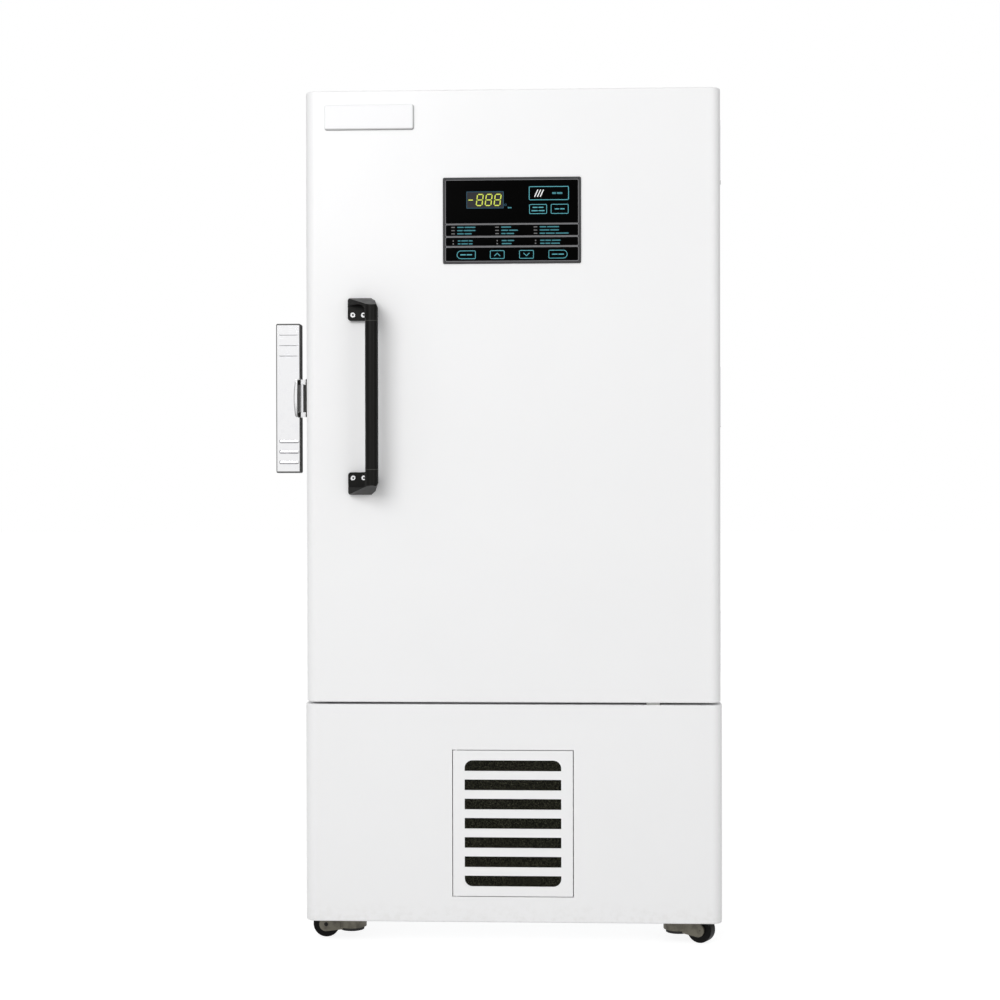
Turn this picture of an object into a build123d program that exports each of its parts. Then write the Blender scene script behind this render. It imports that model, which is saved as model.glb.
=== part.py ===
"""Upright ultra low temperature freezer on levelling casters, in millimetres.

X points right, Y to the rear and Z up. The origin lies on the floor, in the
centre of the footprint between the door's front face and the rear bumpers.
A foamed cabinet stands on a sheet metal base that holds a cascade of two
compressors. One outer door with a side latch closes the cabinet, and two
inner doors close its mouth.
"""

import os
from math import cos, radians, sin, sqrt

from build123d import *

os.makedirs("parts", exist_ok=True)

# Overall sizes
cabinet_width = 770.0
total_height = 1580.0
total_depth = 800.0
rear_bumper_length = 30.0
base_bottom_z = 46.0
base_top_z = 448.0
base_flange = 9.0
cut_overrun = 5.0
running_clearance = 0.05
part_clearance = 0.3

# Sheet metal
sheet = 1.5
front_corner_radius = 20.0
fold_radius = 3.0

# Outer door
door_side_step = 2.5
door_seam = 4.0
door_thickness = 88.0
gasket_depth = 14.0
door_plug_depth = 20.0
door_plug_margin = 17.5
door_plug_radius = 12.0

# Cabinet
cabinet_top_drop = 2.0
cabinet_flange = 40.0
breaker_thickness = 4.0

# Chamber
side_wall = 142.5
floor_wall = 117.0
roof_wall = 128.0
rear_wall = 170.0
liner_wall = 1.5
jacket_thickness = 8.0
jacket_front_inset = 68.0
ledge_width = 10.0
ledge_thickness = 3.0
shelf_count = 3
shelf_thickness = 2.0
shelf_lip = 14.0
shelf_side_clearance = 1.0
shelf_front_inset = 48.0

# Inner doors
inner_door_thickness = 26.0
inner_door_inset = 14.0
inner_door_side_clearance = 3.5
inner_door_rail_gap = 12.5
inner_door_axis_inset = 7.0
inner_door_axis_depth = 4.0
inner_door_border = 34.0
inner_door_recess = 6.0
inner_door_corner = 6.0
inner_pull_width = 60.0
inner_pull_depth = 14.0
inner_stud_radius = 3.0
inner_bracket_width = 17.0
inner_bracket_depth = 18.0
inner_bracket_thickness = 3.0

# Access port
port_side_inset = 92.5
port_drop = 80.0
port_outer_radius = 20.0
port_bore_radius = 17.0
port_flange_radius = 26.0
port_flange_thickness = 2.0
port_plug_radius = 16.8
port_plug_length = 60.0
port_plug_head_radius = 23.0
port_plug_head_thickness = 7.0
port_plug_chamfer = 2.0

# Filter door in the base
grille_width = 221.0
grille_height = 268.5
grille_gap = 1.5
grille_rise = 183.0
grille_sheet = 2.0
grille_flange = 11.0
grille_slot_width = 178.0
grille_slot_height = 19.7
grille_slot_gap = 15.8
grille_slot_count = 7
grille_end_corner = 14.5
grille_corner = 1.0
grille_axis_inset = 6.0
grille_axis_depth = 3.5
grille_stud_radius = 2.0
opening_flange = 14.0
filter_thickness = 8.0
filter_margin = 0.5

# Chassis
caster_height = 84.0
chassis_thickness = 3.0
chassis_flange = 22.0
caster_inset = 78.0

# Rear cover
louvre_width = 130.0
louvre_height = 8.0
louvre_gap = 16.0
louvre_rows = 8
louvre_side_inset = 235.0
louvre_drop = 118.0
inlet_side_inset = 115.0
inlet_width = 34.0
inlet_height = 28.0
switch_gap_x = 62.0
switch_width = 26.0
switch_height = 34.0

# Bumpers
bumper_radius = 15.0
bumper_tip_radius = 11.0
bumper_side_inset = 55.0
bumper_drop = 90.0
bumper_rise = 60.0
door_pad_side_inset = 124.5
door_pad_width = 24.0
door_pad_depth = 36.0
door_pad_inset = 3.0

# Condenser
condenser_setback = 22.0
condenser_depth = 36.0
condenser_width = 260.0
condenser_height = 276.0
fin_thickness = 1.2
fin_count = 21
condenser_tube_radius = 5.0
condenser_tube_gap = 34.0
condenser_tube_count = 6

# Condenser fan
shroud_gap = 3.0
shroud_thickness = 2.0
shroud_ring_radius = 106.0
shroud_ring_wall = 2.0
shroud_ring_depth = 44.0
fan_radius = 100.0
fan_hub_radius = 24.0
fan_hub_length = 26.0
fan_blade_count = 5
fan_blade_thickness = 2.0
fan_blade_chord = 46.0
fan_blade_pitch_deg = 28.0
motor_radius = 36.0
motor_length = 60.0
motor_shaft_radius = 5.0
motor_gap = 3.0
strut_width = 12.0
strut_thickness = 3.0
strut_count = 3

# Compressors
compressor_radius = 84.0
compressor_can_height = 192.0
compressor_dome_radius = 48.0
compressor_sole_radius = 20.0
compressor_seam_z = 110.0
compressor_foot_height = 14.0
compressor_foot_radius = 13.0
compressor_foot_spread = 62.0
compressor_seam_radius = 88.0
compressor_seam_height = 8.0
compressor_side_inset = 190.0
compressor_rear_inset = 310.0
grommet_radius = 15.0

# Cascade heat exchanger
exchanger_width = 76.0
exchanger_depth = 60.0
exchanger_height = 250.0
exchanger_rear_inset = 160.0
exchanger_rise = 24.0
stub_radius = 8.0
stub_length = 16.0
stub_spread_x = 42.0
stub_spread_z = 200.0

# Refrigerant pipes
pipe_radius = 5.0
pipe_bend = 18.0

# Electrical box behind the rear cover, with the power inlet and the main switch
box_width = 150.0
box_height = 180.0
box_depth = 90.0
box_wall = 2.0
box_foot_height = 3.0
inlet_depth = 26.0
inlet_lip = 4.0
inlet_lip_thickness = 2.0
inlet_recess = 18.0
inlet_wall = 3.0
inlet_blade_width = 2.0
inlet_blade_height = 7.0
inlet_blade_spread = 9.0
switch_wall = 2.0
rocker_axis_depth = 1.0
rocker_pin_radius = 1.5
rocker_tilt_deg = 10.0
rocker_end_clearance = 1.5
rocker_valley = 3.0
rocker_crest = 5.5
rocker_root = 6.0

# Door fittings
panel_width = 254.0
panel_height = 158.5
panel_drop = 241.3
panel_pocket_depth = 22.0
overlay_border = 4.0
window_border = 8.0
gasket_inset = 20.0
gasket_width = 26.0
gasket_lip_radius = 4.0

# Hinges
hinge_axis_offset = 1.0
hinge_height = 110.0
hinge_level_shares = (0.096, 0.5, 0.904)
knuckle_radius = 6.2
hinge_pin_radius = 3.0
leaf_length = 50.0

# Latch
latch_axis_offset = 14.5
latch_axis_setback = 62.0
latch_plate_thickness = 5.0
latch_plate_length = 48.0
latch_plate_height = 71.0
latch_ear_gap = 0.5
latch_ear_thickness = 9.0
latch_ear_radius = 9.0
latch_pin_radius = 4.0
latch_hub_radius = 8.0
latch_hub_height = 51.0
grip_axis_inset = 2.0
grip_width = 46.0
grip_depth = 28.0
grip_height = 280.0
grip_wall = 2.0
grip_corner = 3.0
grip_notch = 5.0
grip_rib_rows = 3
grip_rib_inset = 20.0
grip_rib_gap = 16.6
grip_rib_width = 3.0
grip_rib_height = 1.0
hook_thickness = 6.0
hook_height = 24.0
hook_reach = 76.0
claw_length = 10.0
claw_thickness = 7.7
post_radius = 6.0
post_gap = 1.0
strike_inset = 2.0
strike_length = 44.0
strike_height = 56.0
strike_thickness = 3.0
strike_ear_gap = 4.0
strike_ear_thickness = 4.0
strike_ear_radius = 8.0

# Handle
handle_side_inset = 99.75
handle_foot_width = 39.0
handle_foot_thickness = 9.0
tube_offset = 29.0
tube_standoff = 50.0
tube_radius = 12.0
tube_wall = 2.0
tube_length = 270.0
spigot_length = 14.0
shank_height = 46.0
shank_roof = 14.0
shank_collar = 4.5
shank_corner = 5.5
shank_drop = 17.0
shank_slope_x = 11.0
shank_slope_z = 5.0
pocket_corner = 14.0
screw_seat_width = 36.0
screw_span_x = 19.5
screw_span_z = 300.0
screw_head_radius = 4.9
screw_head_height = 3.0
screw_socket_radius = 2.6

# Name plate and control panel
plate_side_inset = 119.5
plate_drop = 49.5
plate_width = 166.0
plate_height = 47.0
plate_thickness = 4.0
plate_corner = 5.0
plate_bevel = 3.0
bezel_thickness = 2.2
overlay_thickness = 1.2
board_depth = 4.0
board_thickness = 1.6
board_width = 234.0
board_height = 140.0
boss_inset = 8.0
boss_radius = 4.0
display_width = 68.7
display_height = 31.3
display_x_share = -0.194
display_z_share = 0.239
wide_key_width = 33.5
corner_key_width = 35.9
arrow_key_width = 27.9
key_height = 16.6
small_key_height = 18.9
key_corner = 3.0
key_clearance = 0.3
key_length = 3.4
key_proud = 0.6
key_place_shares = {
    "key_display": (0.1895, 0.1283),
    "key_silence": (0.3457, 0.1283),
    "key_mode": (-0.3311, -0.3953),
    "key_up": (-0.1063, -0.3953),
    "key_down": (0.1055, -0.3953),
    "key_enter": (0.3331, -0.3953),
}

# Levelling casters
caster_plate_width = 72.0
caster_plate_thickness = 3.0
stem_radius = 6.0
pad_radius = 22.5
pad_bottom_z = 14.0
pad_top_z = 19.0
pad_gap = 0.5
housing_radius = 27.0
housing_bottom_z = 20.0
fork_half_length = 20.0
fork_top_z = 72.0
fork_width = 32.0
lobe_radius = 13.0
wheel_radius = 25.0
wheel_width = 22.0
wheel_offset = 48.0
wheel_gap = 2.0
cheek_gap = 1.0
wheel_shoulder = 3.0
axle_radius = 4.0
caster_turns_deg = (180, -30, 165, 15)

# Derived planes of the body
door_front_y = -total_depth / 2
door_rear_y = door_front_y + door_thickness
cabinet_front_y = door_rear_y + gasket_depth
cabinet_rear_y = total_depth / 2 - rear_bumper_length
cabinet_depth = cabinet_rear_y - cabinet_front_y
door_bottom_z = base_top_z + door_seam
door_height = total_height - door_bottom_z
door_mid_z = (total_height + door_bottom_z) / 2
cabinet_top_z = total_height - cabinet_top_drop
cabinet_height = cabinet_top_z - base_top_z
cabinet_mid_z = (cabinet_top_z + base_top_z) / 2
cabinet_side_x = cabinet_width / 2
door_width = cabinet_width - 2 * door_side_step
door_side_x = door_width / 2
chamber_width = cabinet_width - 2 * side_wall
chamber_bottom_z = base_top_z + floor_wall
chamber_top_z = cabinet_top_z - roof_wall
chamber_height = chamber_top_z - chamber_bottom_z
chamber_mid_z = (chamber_top_z + chamber_bottom_z) / 2
chamber_back_y = cabinet_rear_y - rear_wall
back_panel_y = cabinet_rear_y - sheet
foam_front_y = cabinet_front_y + sheet
liner_front_y = cabinet_front_y + breaker_thickness
breaker_width = cabinet_width - 2 * cabinet_flange
breaker_height = cabinet_height - 2 * cabinet_flange
plug_width = chamber_width - 2 * door_plug_margin
plug_height = chamber_height - 2 * door_plug_margin


def upright(y):
    """Plane across the freezer at depth y: its x is X and its y is Z, facing the front."""
    return Plane.XZ.offset(-y)


def level(z):
    """Level plane at height z."""
    return Plane.XY.offset(z)


def sideways(x):
    """Plane along the freezer's side at x: its x is Y and its y is Z, facing right."""
    return Plane.YZ.offset(x)


def border(width, height, edge):
    """Rectangular ring, edge wide, inside an outline of width by height."""
    Rectangle(width, height)
    Rectangle(width - 2 * edge, height - 2 * edge, mode=Mode.SUBTRACT)


def rounded_front(width, front, rear, radius):
    """Plan of a body from front to rear whose two front corners are rounded."""
    with Locations((0, (front + rear) / 2)):
        Rectangle(width, rear - front)
    fillet(vertices().group_by(Axis.Y)[0], radius)


def keep(name, part):
    """Label a finished piece and write it to its own file."""
    part.label = name
    export_step(part, f"parts/{name}.step")


# Cabinet shell: painted sheet round the foam, with a return flange at its mouth
with BuildPart() as cabinet_shell:
    with BuildSketch(upright(cabinet_front_y)):
        with Locations((0, cabinet_mid_z)):
            RectangleRounded(cabinet_width, cabinet_height, fold_radius)
            Rectangle(cabinet_width - 2 * sheet, cabinet_height - 2 * sheet, mode=Mode.SUBTRACT)
    extrude(amount=-cabinet_depth)
    with BuildSketch(upright(cabinet_front_y)):
        with Locations((0, cabinet_mid_z)):
            border(cabinet_width - 2 * sheet, cabinet_height - 2 * sheet, cabinet_flange - sheet)
    extrude(amount=-sheet)
keep("cabinet_shell", cabinet_shell.part)

# Access port: sleeve through the rear wall for probes and cables, closed by a plug
port_x = chamber_width / 2 - port_side_inset
port_z = chamber_top_z - port_drop

with BuildPart() as back_panel:
    with BuildSketch(upright(back_panel_y)):
        with Locations((0, cabinet_mid_z)):
            Rectangle(cabinet_width - 2 * sheet, cabinet_height - 2 * sheet)
        with Locations((port_x, port_z)):
            Circle(port_outer_radius, mode=Mode.SUBTRACT)
    extrude(amount=-sheet)
keep("back_panel", back_panel.part)

port_mouth_y = cabinet_rear_y + port_flange_thickness
with BuildPart() as port_plug:
    with BuildSketch(upright(port_mouth_y)):
        with Locations((port_x, port_z)):
            Circle(port_plug_radius)
    extrude(amount=port_plug_length)
    chamfer(edges().group_by(Axis.Y)[0], port_plug_chamfer)
    with BuildSketch(upright(port_mouth_y)):
        with Locations((port_x, port_z)):
            Circle(port_plug_head_radius)
    extrude(amount=-port_plug_head_thickness)
    chamfer(edges().group_by(Axis.Y)[-1], port_plug_chamfer)

with BuildPart() as access_port:
    with BuildSketch(upright(chamber_back_y)):
        with Locations((port_x, port_z)):
            Circle(port_outer_radius)
            Circle(port_bore_radius, mode=Mode.SUBTRACT)
    extrude(amount=-(cabinet_rear_y - chamber_back_y))
    with BuildSketch(upright(chamber_back_y), upright(cabinet_rear_y + port_flange_thickness)):
        with Locations((port_x, port_z)):
            Circle(port_flange_radius)
            Circle(port_bore_radius, mode=Mode.SUBTRACT)
    extrude(amount=port_flange_thickness)
keep("access_port", Compound([access_port.part.solid(), port_plug.part.solid()]))

# Foam between the shell and the liner, with room for the evaporator jacket
liner_width = chamber_width + 2 * liner_wall
liner_height = chamber_height + 2 * liner_wall
liner_back_y = chamber_back_y + liner_wall
jacket_front_y = cabinet_front_y + jacket_front_inset

with BuildPart() as insulation:
    with BuildSketch(upright(foam_front_y)):
        with Locations((0, cabinet_mid_z)):
            Rectangle(cabinet_width - 2 * sheet, cabinet_height - 2 * sheet)
    extrude(amount=-(back_panel_y - foam_front_y))
    with BuildSketch(upright(foam_front_y)):
        with Locations((0, cabinet_mid_z)):
            Rectangle(breaker_width, breaker_height)
    extrude(amount=-(liner_front_y - foam_front_y), mode=Mode.SUBTRACT)
    with BuildSketch(upright(liner_front_y)):
        with Locations((0, chamber_mid_z)):
            Rectangle(liner_width, liner_height)
    extrude(amount=-(liner_back_y - liner_front_y), mode=Mode.SUBTRACT)
    with BuildSketch(upright(jacket_front_y)):
        with Locations((0, chamber_mid_z)):
            Rectangle(liner_width + 2 * jacket_thickness, liner_height + 2 * jacket_thickness)
    extrude(amount=-(liner_back_y - jacket_front_y), mode=Mode.SUBTRACT)
    with BuildSketch(upright(liner_back_y)):
        with Locations((port_x, port_z)):
            Circle(port_outer_radius)
    extrude(amount=-(back_panel_y - liner_back_y), mode=Mode.SUBTRACT)
keep("insulation", insulation.part)

with BuildPart() as evaporator_jacket:
    with BuildSketch(upright(jacket_front_y)):
        with Locations((0, chamber_mid_z)):
            border(
                liner_width + 2 * jacket_thickness,
                liner_height + 2 * jacket_thickness,
                jacket_thickness,
            )
    extrude(amount=-(liner_back_y - jacket_front_y))
keep("evaporator_jacket", evaporator_jacket.part)

# Inner liner: steel box open at the front, with a ledge on each side under each shelf
shelf_pitch = chamber_height / (shelf_count + 1)
shelf_levels = [chamber_bottom_z + shelf_pitch * (k + 1) for k in range(shelf_count)]
shelf_front_y = cabinet_front_y + shelf_front_inset
ledge_length = chamber_back_y - shelf_front_y
ledge_x = (chamber_width - ledge_width) / 2
shelf_depth = ledge_length - shelf_side_clearance

with BuildPart() as inner_liner:
    with BuildSketch(upright(liner_front_y)):
        with Locations((0, chamber_mid_z)):
            border(liner_width, liner_height, liner_wall)
    extrude(amount=-(liner_back_y - liner_front_y))
    with BuildSketch(upright(chamber_back_y)):
        with Locations((0, chamber_mid_z)):
            Rectangle(chamber_width, chamber_height)
        with Locations((port_x, port_z)):
            Circle(port_outer_radius, mode=Mode.SUBTRACT)
    extrude(amount=-liner_wall)
    with BuildSketch(upright(shelf_front_y)):
        for shelf_z in shelf_levels:
            with Locations(
                (-ledge_x, shelf_z - ledge_thickness / 2),
                (ledge_x, shelf_z - ledge_thickness / 2),
            ):
                Rectangle(ledge_width, ledge_thickness)
    extrude(amount=-ledge_length)
keep("inner_liner", inner_liner.part)

# Breaker frame: plastic strip between the liner's mouth and the shell's flange
with BuildPart() as breaker_frame:
    with BuildSketch(upright(cabinet_front_y)):
        with Locations((0, cabinet_mid_z)):
            Rectangle(breaker_width, breaker_height)
        with Locations((0, chamber_mid_z)):
            Rectangle(chamber_width, chamber_height, mode=Mode.SUBTRACT)
    extrude(amount=-breaker_thickness)
keep("breaker_frame", breaker_frame.part)

# Shelves: folded trays on the liner's ledges
shelf_width = chamber_width - 2 * shelf_side_clearance
shelf_lip_inset = ledge_width + shelf_side_clearance
with BuildPart() as shelves:
    for shelf_z in shelf_levels:
        with BuildSketch(level(shelf_z)):
            with Locations((0, shelf_front_y + shelf_depth / 2)):
                Rectangle(shelf_width, shelf_depth)
        extrude(amount=shelf_thickness)
        with BuildSketch(level(shelf_z)):
            with Locations(
                (0, shelf_front_y + shelf_thickness / 2),
                (0, shelf_front_y + shelf_depth - shelf_thickness / 2),
            ):
                Rectangle(shelf_width - 2 * shelf_lip_inset, shelf_thickness)
        extrude(amount=-shelf_lip)
keep("shelves", shelves.part)

# Inner doors: two insulated leaves in the chamber's mouth, on studs in the liner's brackets
inner_front_y = cabinet_front_y + inner_door_inset
inner_half_x = chamber_width / 2 - inner_door_side_clearance
inner_axis_x = inner_half_x - inner_door_axis_inset
inner_axis_y = inner_front_y + inner_door_axis_depth
inner_edge_gap = inner_bracket_thickness + part_clearance
inner_door_spans = [
    (chamber_bottom_z + inner_edge_gap, chamber_mid_z - inner_door_rail_gap / 2),
    (chamber_mid_z + inner_door_rail_gap / 2, chamber_top_z - inner_edge_gap),
]
inner_bracket_spans = [
    (chamber_bottom_z, chamber_bottom_z + inner_bracket_thickness),
    (inner_door_spans[0][1] + part_clearance, inner_door_spans[1][0] - part_clearance),
    (chamber_top_z - inner_bracket_thickness, chamber_top_z),
]
inner_stud_length = inner_bracket_thickness
inner_pull_x = -inner_half_x + inner_door_border / 2

for door_name, (low_z, high_z) in zip(("lower", "upper"), inner_door_spans):
    mid_z = (low_z + high_z) / 2
    with BuildPart() as inner_door:
        with BuildSketch(upright(inner_front_y)):
            with Locations((0, mid_z)):
                RectangleRounded(2 * inner_half_x, high_z - low_z, inner_door_corner)
        extrude(amount=-inner_door_thickness)
        with BuildSketch(upright(inner_front_y)):
            with Locations((0, mid_z)):
                RectangleRounded(
                    2 * (inner_half_x - inner_door_border),
                    high_z - low_z - 2 * inner_door_border,
                    inner_door_corner,
                )
        extrude(amount=-inner_door_recess, mode=Mode.SUBTRACT)
        with BuildSketch(upright(inner_front_y)):
            with Locations((inner_pull_x, mid_z)):
                SlotOverall(inner_pull_width, inner_pull_depth, rotation=90)
        extrude(amount=-inner_pull_depth, mode=Mode.SUBTRACT)
        with BuildSketch(level(low_z - inner_stud_length)):
            with Locations((inner_axis_x, inner_axis_y)):
                Circle(inner_stud_radius)
        extrude(amount=high_z - low_z + 2 * inner_stud_length)
    keep(f"inner_door_{door_name}", inner_door.part)

bracket_mid_x = chamber_width / 2 - inner_bracket_width / 2
with BuildPart() as inner_door_brackets:
    for low_z, high_z in inner_bracket_spans:
        with BuildSketch(level(low_z)):
            with Locations((bracket_mid_x, inner_axis_y + inner_bracket_depth / 4)):
                Rectangle(inner_bracket_width, inner_bracket_depth)
            with Locations((inner_axis_x, inner_axis_y)):
                Circle(inner_stud_radius + running_clearance, mode=Mode.SUBTRACT)
        extrude(amount=high_z - low_z)
keep("inner_door_brackets", inner_door_brackets.part)

# Filter door in the base: a hinged grille that holds the condenser's dust filter
opening_width = grille_width + 2 * grille_gap
opening_height = grille_height + 2 * grille_gap
grille_axis_x = -grille_width / 2 + grille_axis_inset
grille_axis_y = door_front_y + grille_axis_depth
grille_mid_z = base_bottom_z + grille_rise
grille_top_z = grille_mid_z + grille_height / 2
grille_bottom_z = grille_mid_z - grille_height / 2

# Base shell: folded skirt open below and behind, its top ledge lies under the door
ledge_rear_y = cabinet_front_y + cabinet_flange
base_height = base_top_z - base_bottom_z
with BuildPart() as base_shell:
    with BuildSketch(level(base_bottom_z)):
        rounded_front(cabinet_width, door_front_y, cabinet_rear_y, front_corner_radius)
    extrude(amount=base_height)
    top_rim = edges().group_by(Axis.Z)[-1].filter_by(lambda e: e.center().Y < cabinet_front_y)
    fillet(top_rim, fold_radius / 2)
    bottom_rim = edges().group_by(Axis.Z)[0].filter_by(lambda e: e.center().Y < cabinet_rear_y - fold_radius)
    fillet(bottom_rim, fold_radius)
    with BuildSketch(level(base_bottom_z + sheet)):
        rounded_front(
            cabinet_width - 2 * sheet,
            door_front_y + sheet,
            cabinet_rear_y + cut_overrun,
            front_corner_radius - sheet,
        )
    extrude(amount=base_height - 2 * sheet, mode=Mode.SUBTRACT)
    with BuildSketch(level(base_bottom_z)):
        rounded_front(
            cabinet_width - 2 * base_flange,
            door_front_y + base_flange,
            cabinet_rear_y + cut_overrun,
            front_corner_radius - base_flange,
        )
    extrude(amount=sheet, mode=Mode.SUBTRACT)
    with BuildSketch(level(base_top_z - sheet)):
        with Locations((0, (ledge_rear_y + cabinet_rear_y + cut_overrun) / 2)):
            Rectangle(cabinet_width - 2 * cabinet_flange, cabinet_rear_y + cut_overrun - ledge_rear_y)
    extrude(amount=sheet, mode=Mode.SUBTRACT)
    with BuildSketch(upright(door_front_y)):
        with Locations((0, grille_mid_z)):
            Rectangle(opening_width + 2 * sheet, opening_height + 2 * sheet)
    extrude(amount=-opening_flange)
    with BuildSketch(upright(door_front_y)):
        with Locations((0, grille_mid_z)):
            Rectangle(opening_width, opening_height)
    extrude(amount=-opening_flange, mode=Mode.SUBTRACT)
    with BuildSketch(level(grille_bottom_z - grille_gap - sheet)):
        with Locations((grille_axis_x, grille_axis_y)):
            Circle(grille_stud_radius + running_clearance)
    extrude(amount=opening_height + 2 * sheet, mode=Mode.SUBTRACT)
keep("base_shell", base_shell.part)

with BuildPart() as filter_door:
    with BuildSketch(upright(door_front_y)):
        with Locations((0, grille_mid_z)):
            RectangleRounded(grille_width, grille_height, grille_corner)
    extrude(amount=-grille_sheet)
    with BuildSketch(upright(door_front_y + grille_sheet)):
        with Locations((0, grille_mid_z)):
            border(grille_width, grille_height, sheet)
    extrude(amount=-(grille_flange - grille_sheet))
    with BuildSketch(upright(door_front_y)):
        with Locations((0, grille_mid_z)):
            with GridLocations(0, grille_slot_height + grille_slot_gap, 1, grille_slot_count):
                Rectangle(grille_slot_width, grille_slot_height)
        rows = vertices().group_by(Axis.Y)
        fillet(rows[0] + rows[-1], grille_end_corner)
    extrude(amount=-grille_sheet, mode=Mode.SUBTRACT)
    with BuildSketch(level(grille_top_z), level(grille_bottom_z - grille_gap - sheet)):
        with Locations((grille_axis_x, grille_axis_y)):
            Circle(grille_stud_radius)
    extrude(amount=grille_gap + sheet)
keep("filter_door", filter_door.part)

with BuildPart() as foam_filter:
    with BuildSketch(upright(door_front_y + grille_sheet)):
        with Locations((0, grille_mid_z)):
            Rectangle(
                grille_width - 2 * (sheet + filter_margin),
                grille_height - 2 * (sheet + filter_margin),
            )
    extrude(amount=-filter_thickness)
keep("foam_filter", foam_filter.part)

# Chassis: a folded plate across the base that carries the machine and the casters
chassis_top_z = caster_height + chassis_thickness
with BuildPart() as chassis_plate:
    with BuildSketch(level(caster_height)):
        rounded_front(
            cabinet_width - 2 * sheet,
            door_front_y + sheet,
            back_panel_y,
            front_corner_radius - sheet,
        )
    extrude(amount=chassis_thickness)
    with BuildSketch(level(caster_height)):
        with Locations(
            (-(cabinet_side_x - sheet - chassis_thickness / 2), 0),
            (cabinet_side_x - sheet - chassis_thickness / 2, 0),
        ):
            Rectangle(chassis_thickness, back_panel_y - cabinet_front_y)
    extrude(amount=-chassis_flange)
keep("chassis_plate", chassis_plate.part)

# Rear cover: louvred sheet that closes the machine compartment
cover_bottom_z = caster_height
cover_height = base_top_z - sheet - cover_bottom_z
louvre_column_x = cabinet_side_x - louvre_side_inset
louvre_mid_z = base_top_z - louvre_drop
louvre_step = louvre_height + louvre_gap
inlet_x = inlet_side_inset - cabinet_side_x
inlet_z = chassis_top_z + box_foot_height + box_height / 2
with BuildPart() as rear_cover:
    with BuildSketch(upright(back_panel_y)):
        with Locations((0, cover_bottom_z + cover_height / 2)):
            Rectangle(cabinet_width - 2 * sheet, cover_height)
        with Locations((0, louvre_mid_z)):
            with GridLocations(2 * louvre_column_x, louvre_step, 2, louvre_rows):
                SlotOverall(louvre_width, louvre_height, mode=Mode.SUBTRACT)
        with Locations((inlet_x, inlet_z)):
            Rectangle(inlet_width, inlet_height, mode=Mode.SUBTRACT)
        with Locations((inlet_x + switch_gap_x, inlet_z)):
            Rectangle(switch_width, switch_height, mode=Mode.SUBTRACT)
    extrude(amount=-sheet)
keep("rear_cover", rear_cover.part)

# Bumpers: four rear spacers that keep the wall off, and the pad under the door's free side
bumper_x = cabinet_side_x - bumper_side_inset
door_pad_x = door_side_x - door_pad_side_inset
with BuildPart() as bumpers:
    for bumper_z in (base_bottom_z + bumper_rise, cabinet_top_z - bumper_drop):
        for side in (-1, 1):
            with BuildSketch(upright(cabinet_rear_y)):
                with Locations((side * bumper_x, bumper_z)):
                    Circle(bumper_radius)
            with BuildSketch(upright(cabinet_rear_y + rear_bumper_length)):
                with Locations((side * bumper_x, bumper_z)):
                    Circle(bumper_tip_radius)
            loft()
    with BuildSketch(level(base_top_z)):
        with Locations((door_pad_x, door_front_y + door_pad_inset + door_pad_depth / 2)):
            Rectangle(door_pad_width, door_pad_depth)
    extrude(amount=door_seam - part_clearance)
keep("bumpers", bumpers.part)

# Condenser: tubes through a stack of fins, stood on the chassis behind the filter door
condenser_front_y = door_front_y + condenser_setback
condenser_mid_y = condenser_front_y + condenser_depth / 2
condenser_mid_z = chassis_top_z + condenser_height / 2
fin_pitch = (condenser_width - fin_thickness) / (fin_count - 1)
condenser_tube_step = 2 * condenser_tube_radius + condenser_tube_gap
with BuildPart() as condenser:
    with BuildSketch(level(chassis_top_z)):
        with Locations((0, condenser_mid_y)):
            with GridLocations(fin_pitch, 0, fin_count, 1):
                Rectangle(fin_thickness, condenser_depth)
    extrude(amount=condenser_height)
    with BuildSketch(sideways(-condenser_width / 2)):
        with Locations((condenser_mid_y, condenser_mid_z)):
            with GridLocations(0, condenser_tube_step, 1, condenser_tube_count):
                Circle(condenser_tube_radius)
    extrude(amount=condenser_width)
keep("condenser", condenser.part)

# Condenser fan: motor on three struts in a ring, drawing air through the fins
fan_z = grille_mid_z
shroud_front_y = condenser_front_y + condenser_depth + shroud_gap
fan_front_y = shroud_front_y + shroud_thickness
motor_front_y = fan_front_y + fan_hub_length + motor_gap
shroud_height = condenser_height
ring_outer_radius = shroud_ring_radius + shroud_ring_wall
strut_reach = sqrt(shroud_ring_radius**2 - (strut_width / 2) ** 2)
with BuildPart() as fan_shroud:
    with BuildSketch(upright(shroud_front_y)):
        with Locations((0, chassis_top_z + shroud_height / 2)):
            Rectangle(condenser_width, shroud_height)
        with Locations((0, fan_z)):
            Circle(shroud_ring_radius, mode=Mode.SUBTRACT)
    extrude(amount=-shroud_thickness)
    with BuildSketch(upright(shroud_front_y)):
        with Locations((0, fan_z)):
            Circle(ring_outer_radius)
            Circle(shroud_ring_radius, mode=Mode.SUBTRACT)
    extrude(amount=-shroud_ring_depth)
    with BuildSketch(upright(shroud_front_y)):
        with Locations(
            (-(condenser_width - shroud_thickness) / 2, chassis_top_z + shroud_height / 2),
            ((condenser_width - shroud_thickness) / 2, chassis_top_z + shroud_height / 2),
        ):
            Rectangle(shroud_thickness, shroud_height)
    extrude(amount=shroud_gap)
keep("fan_shroud", fan_shroud.part)

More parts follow.
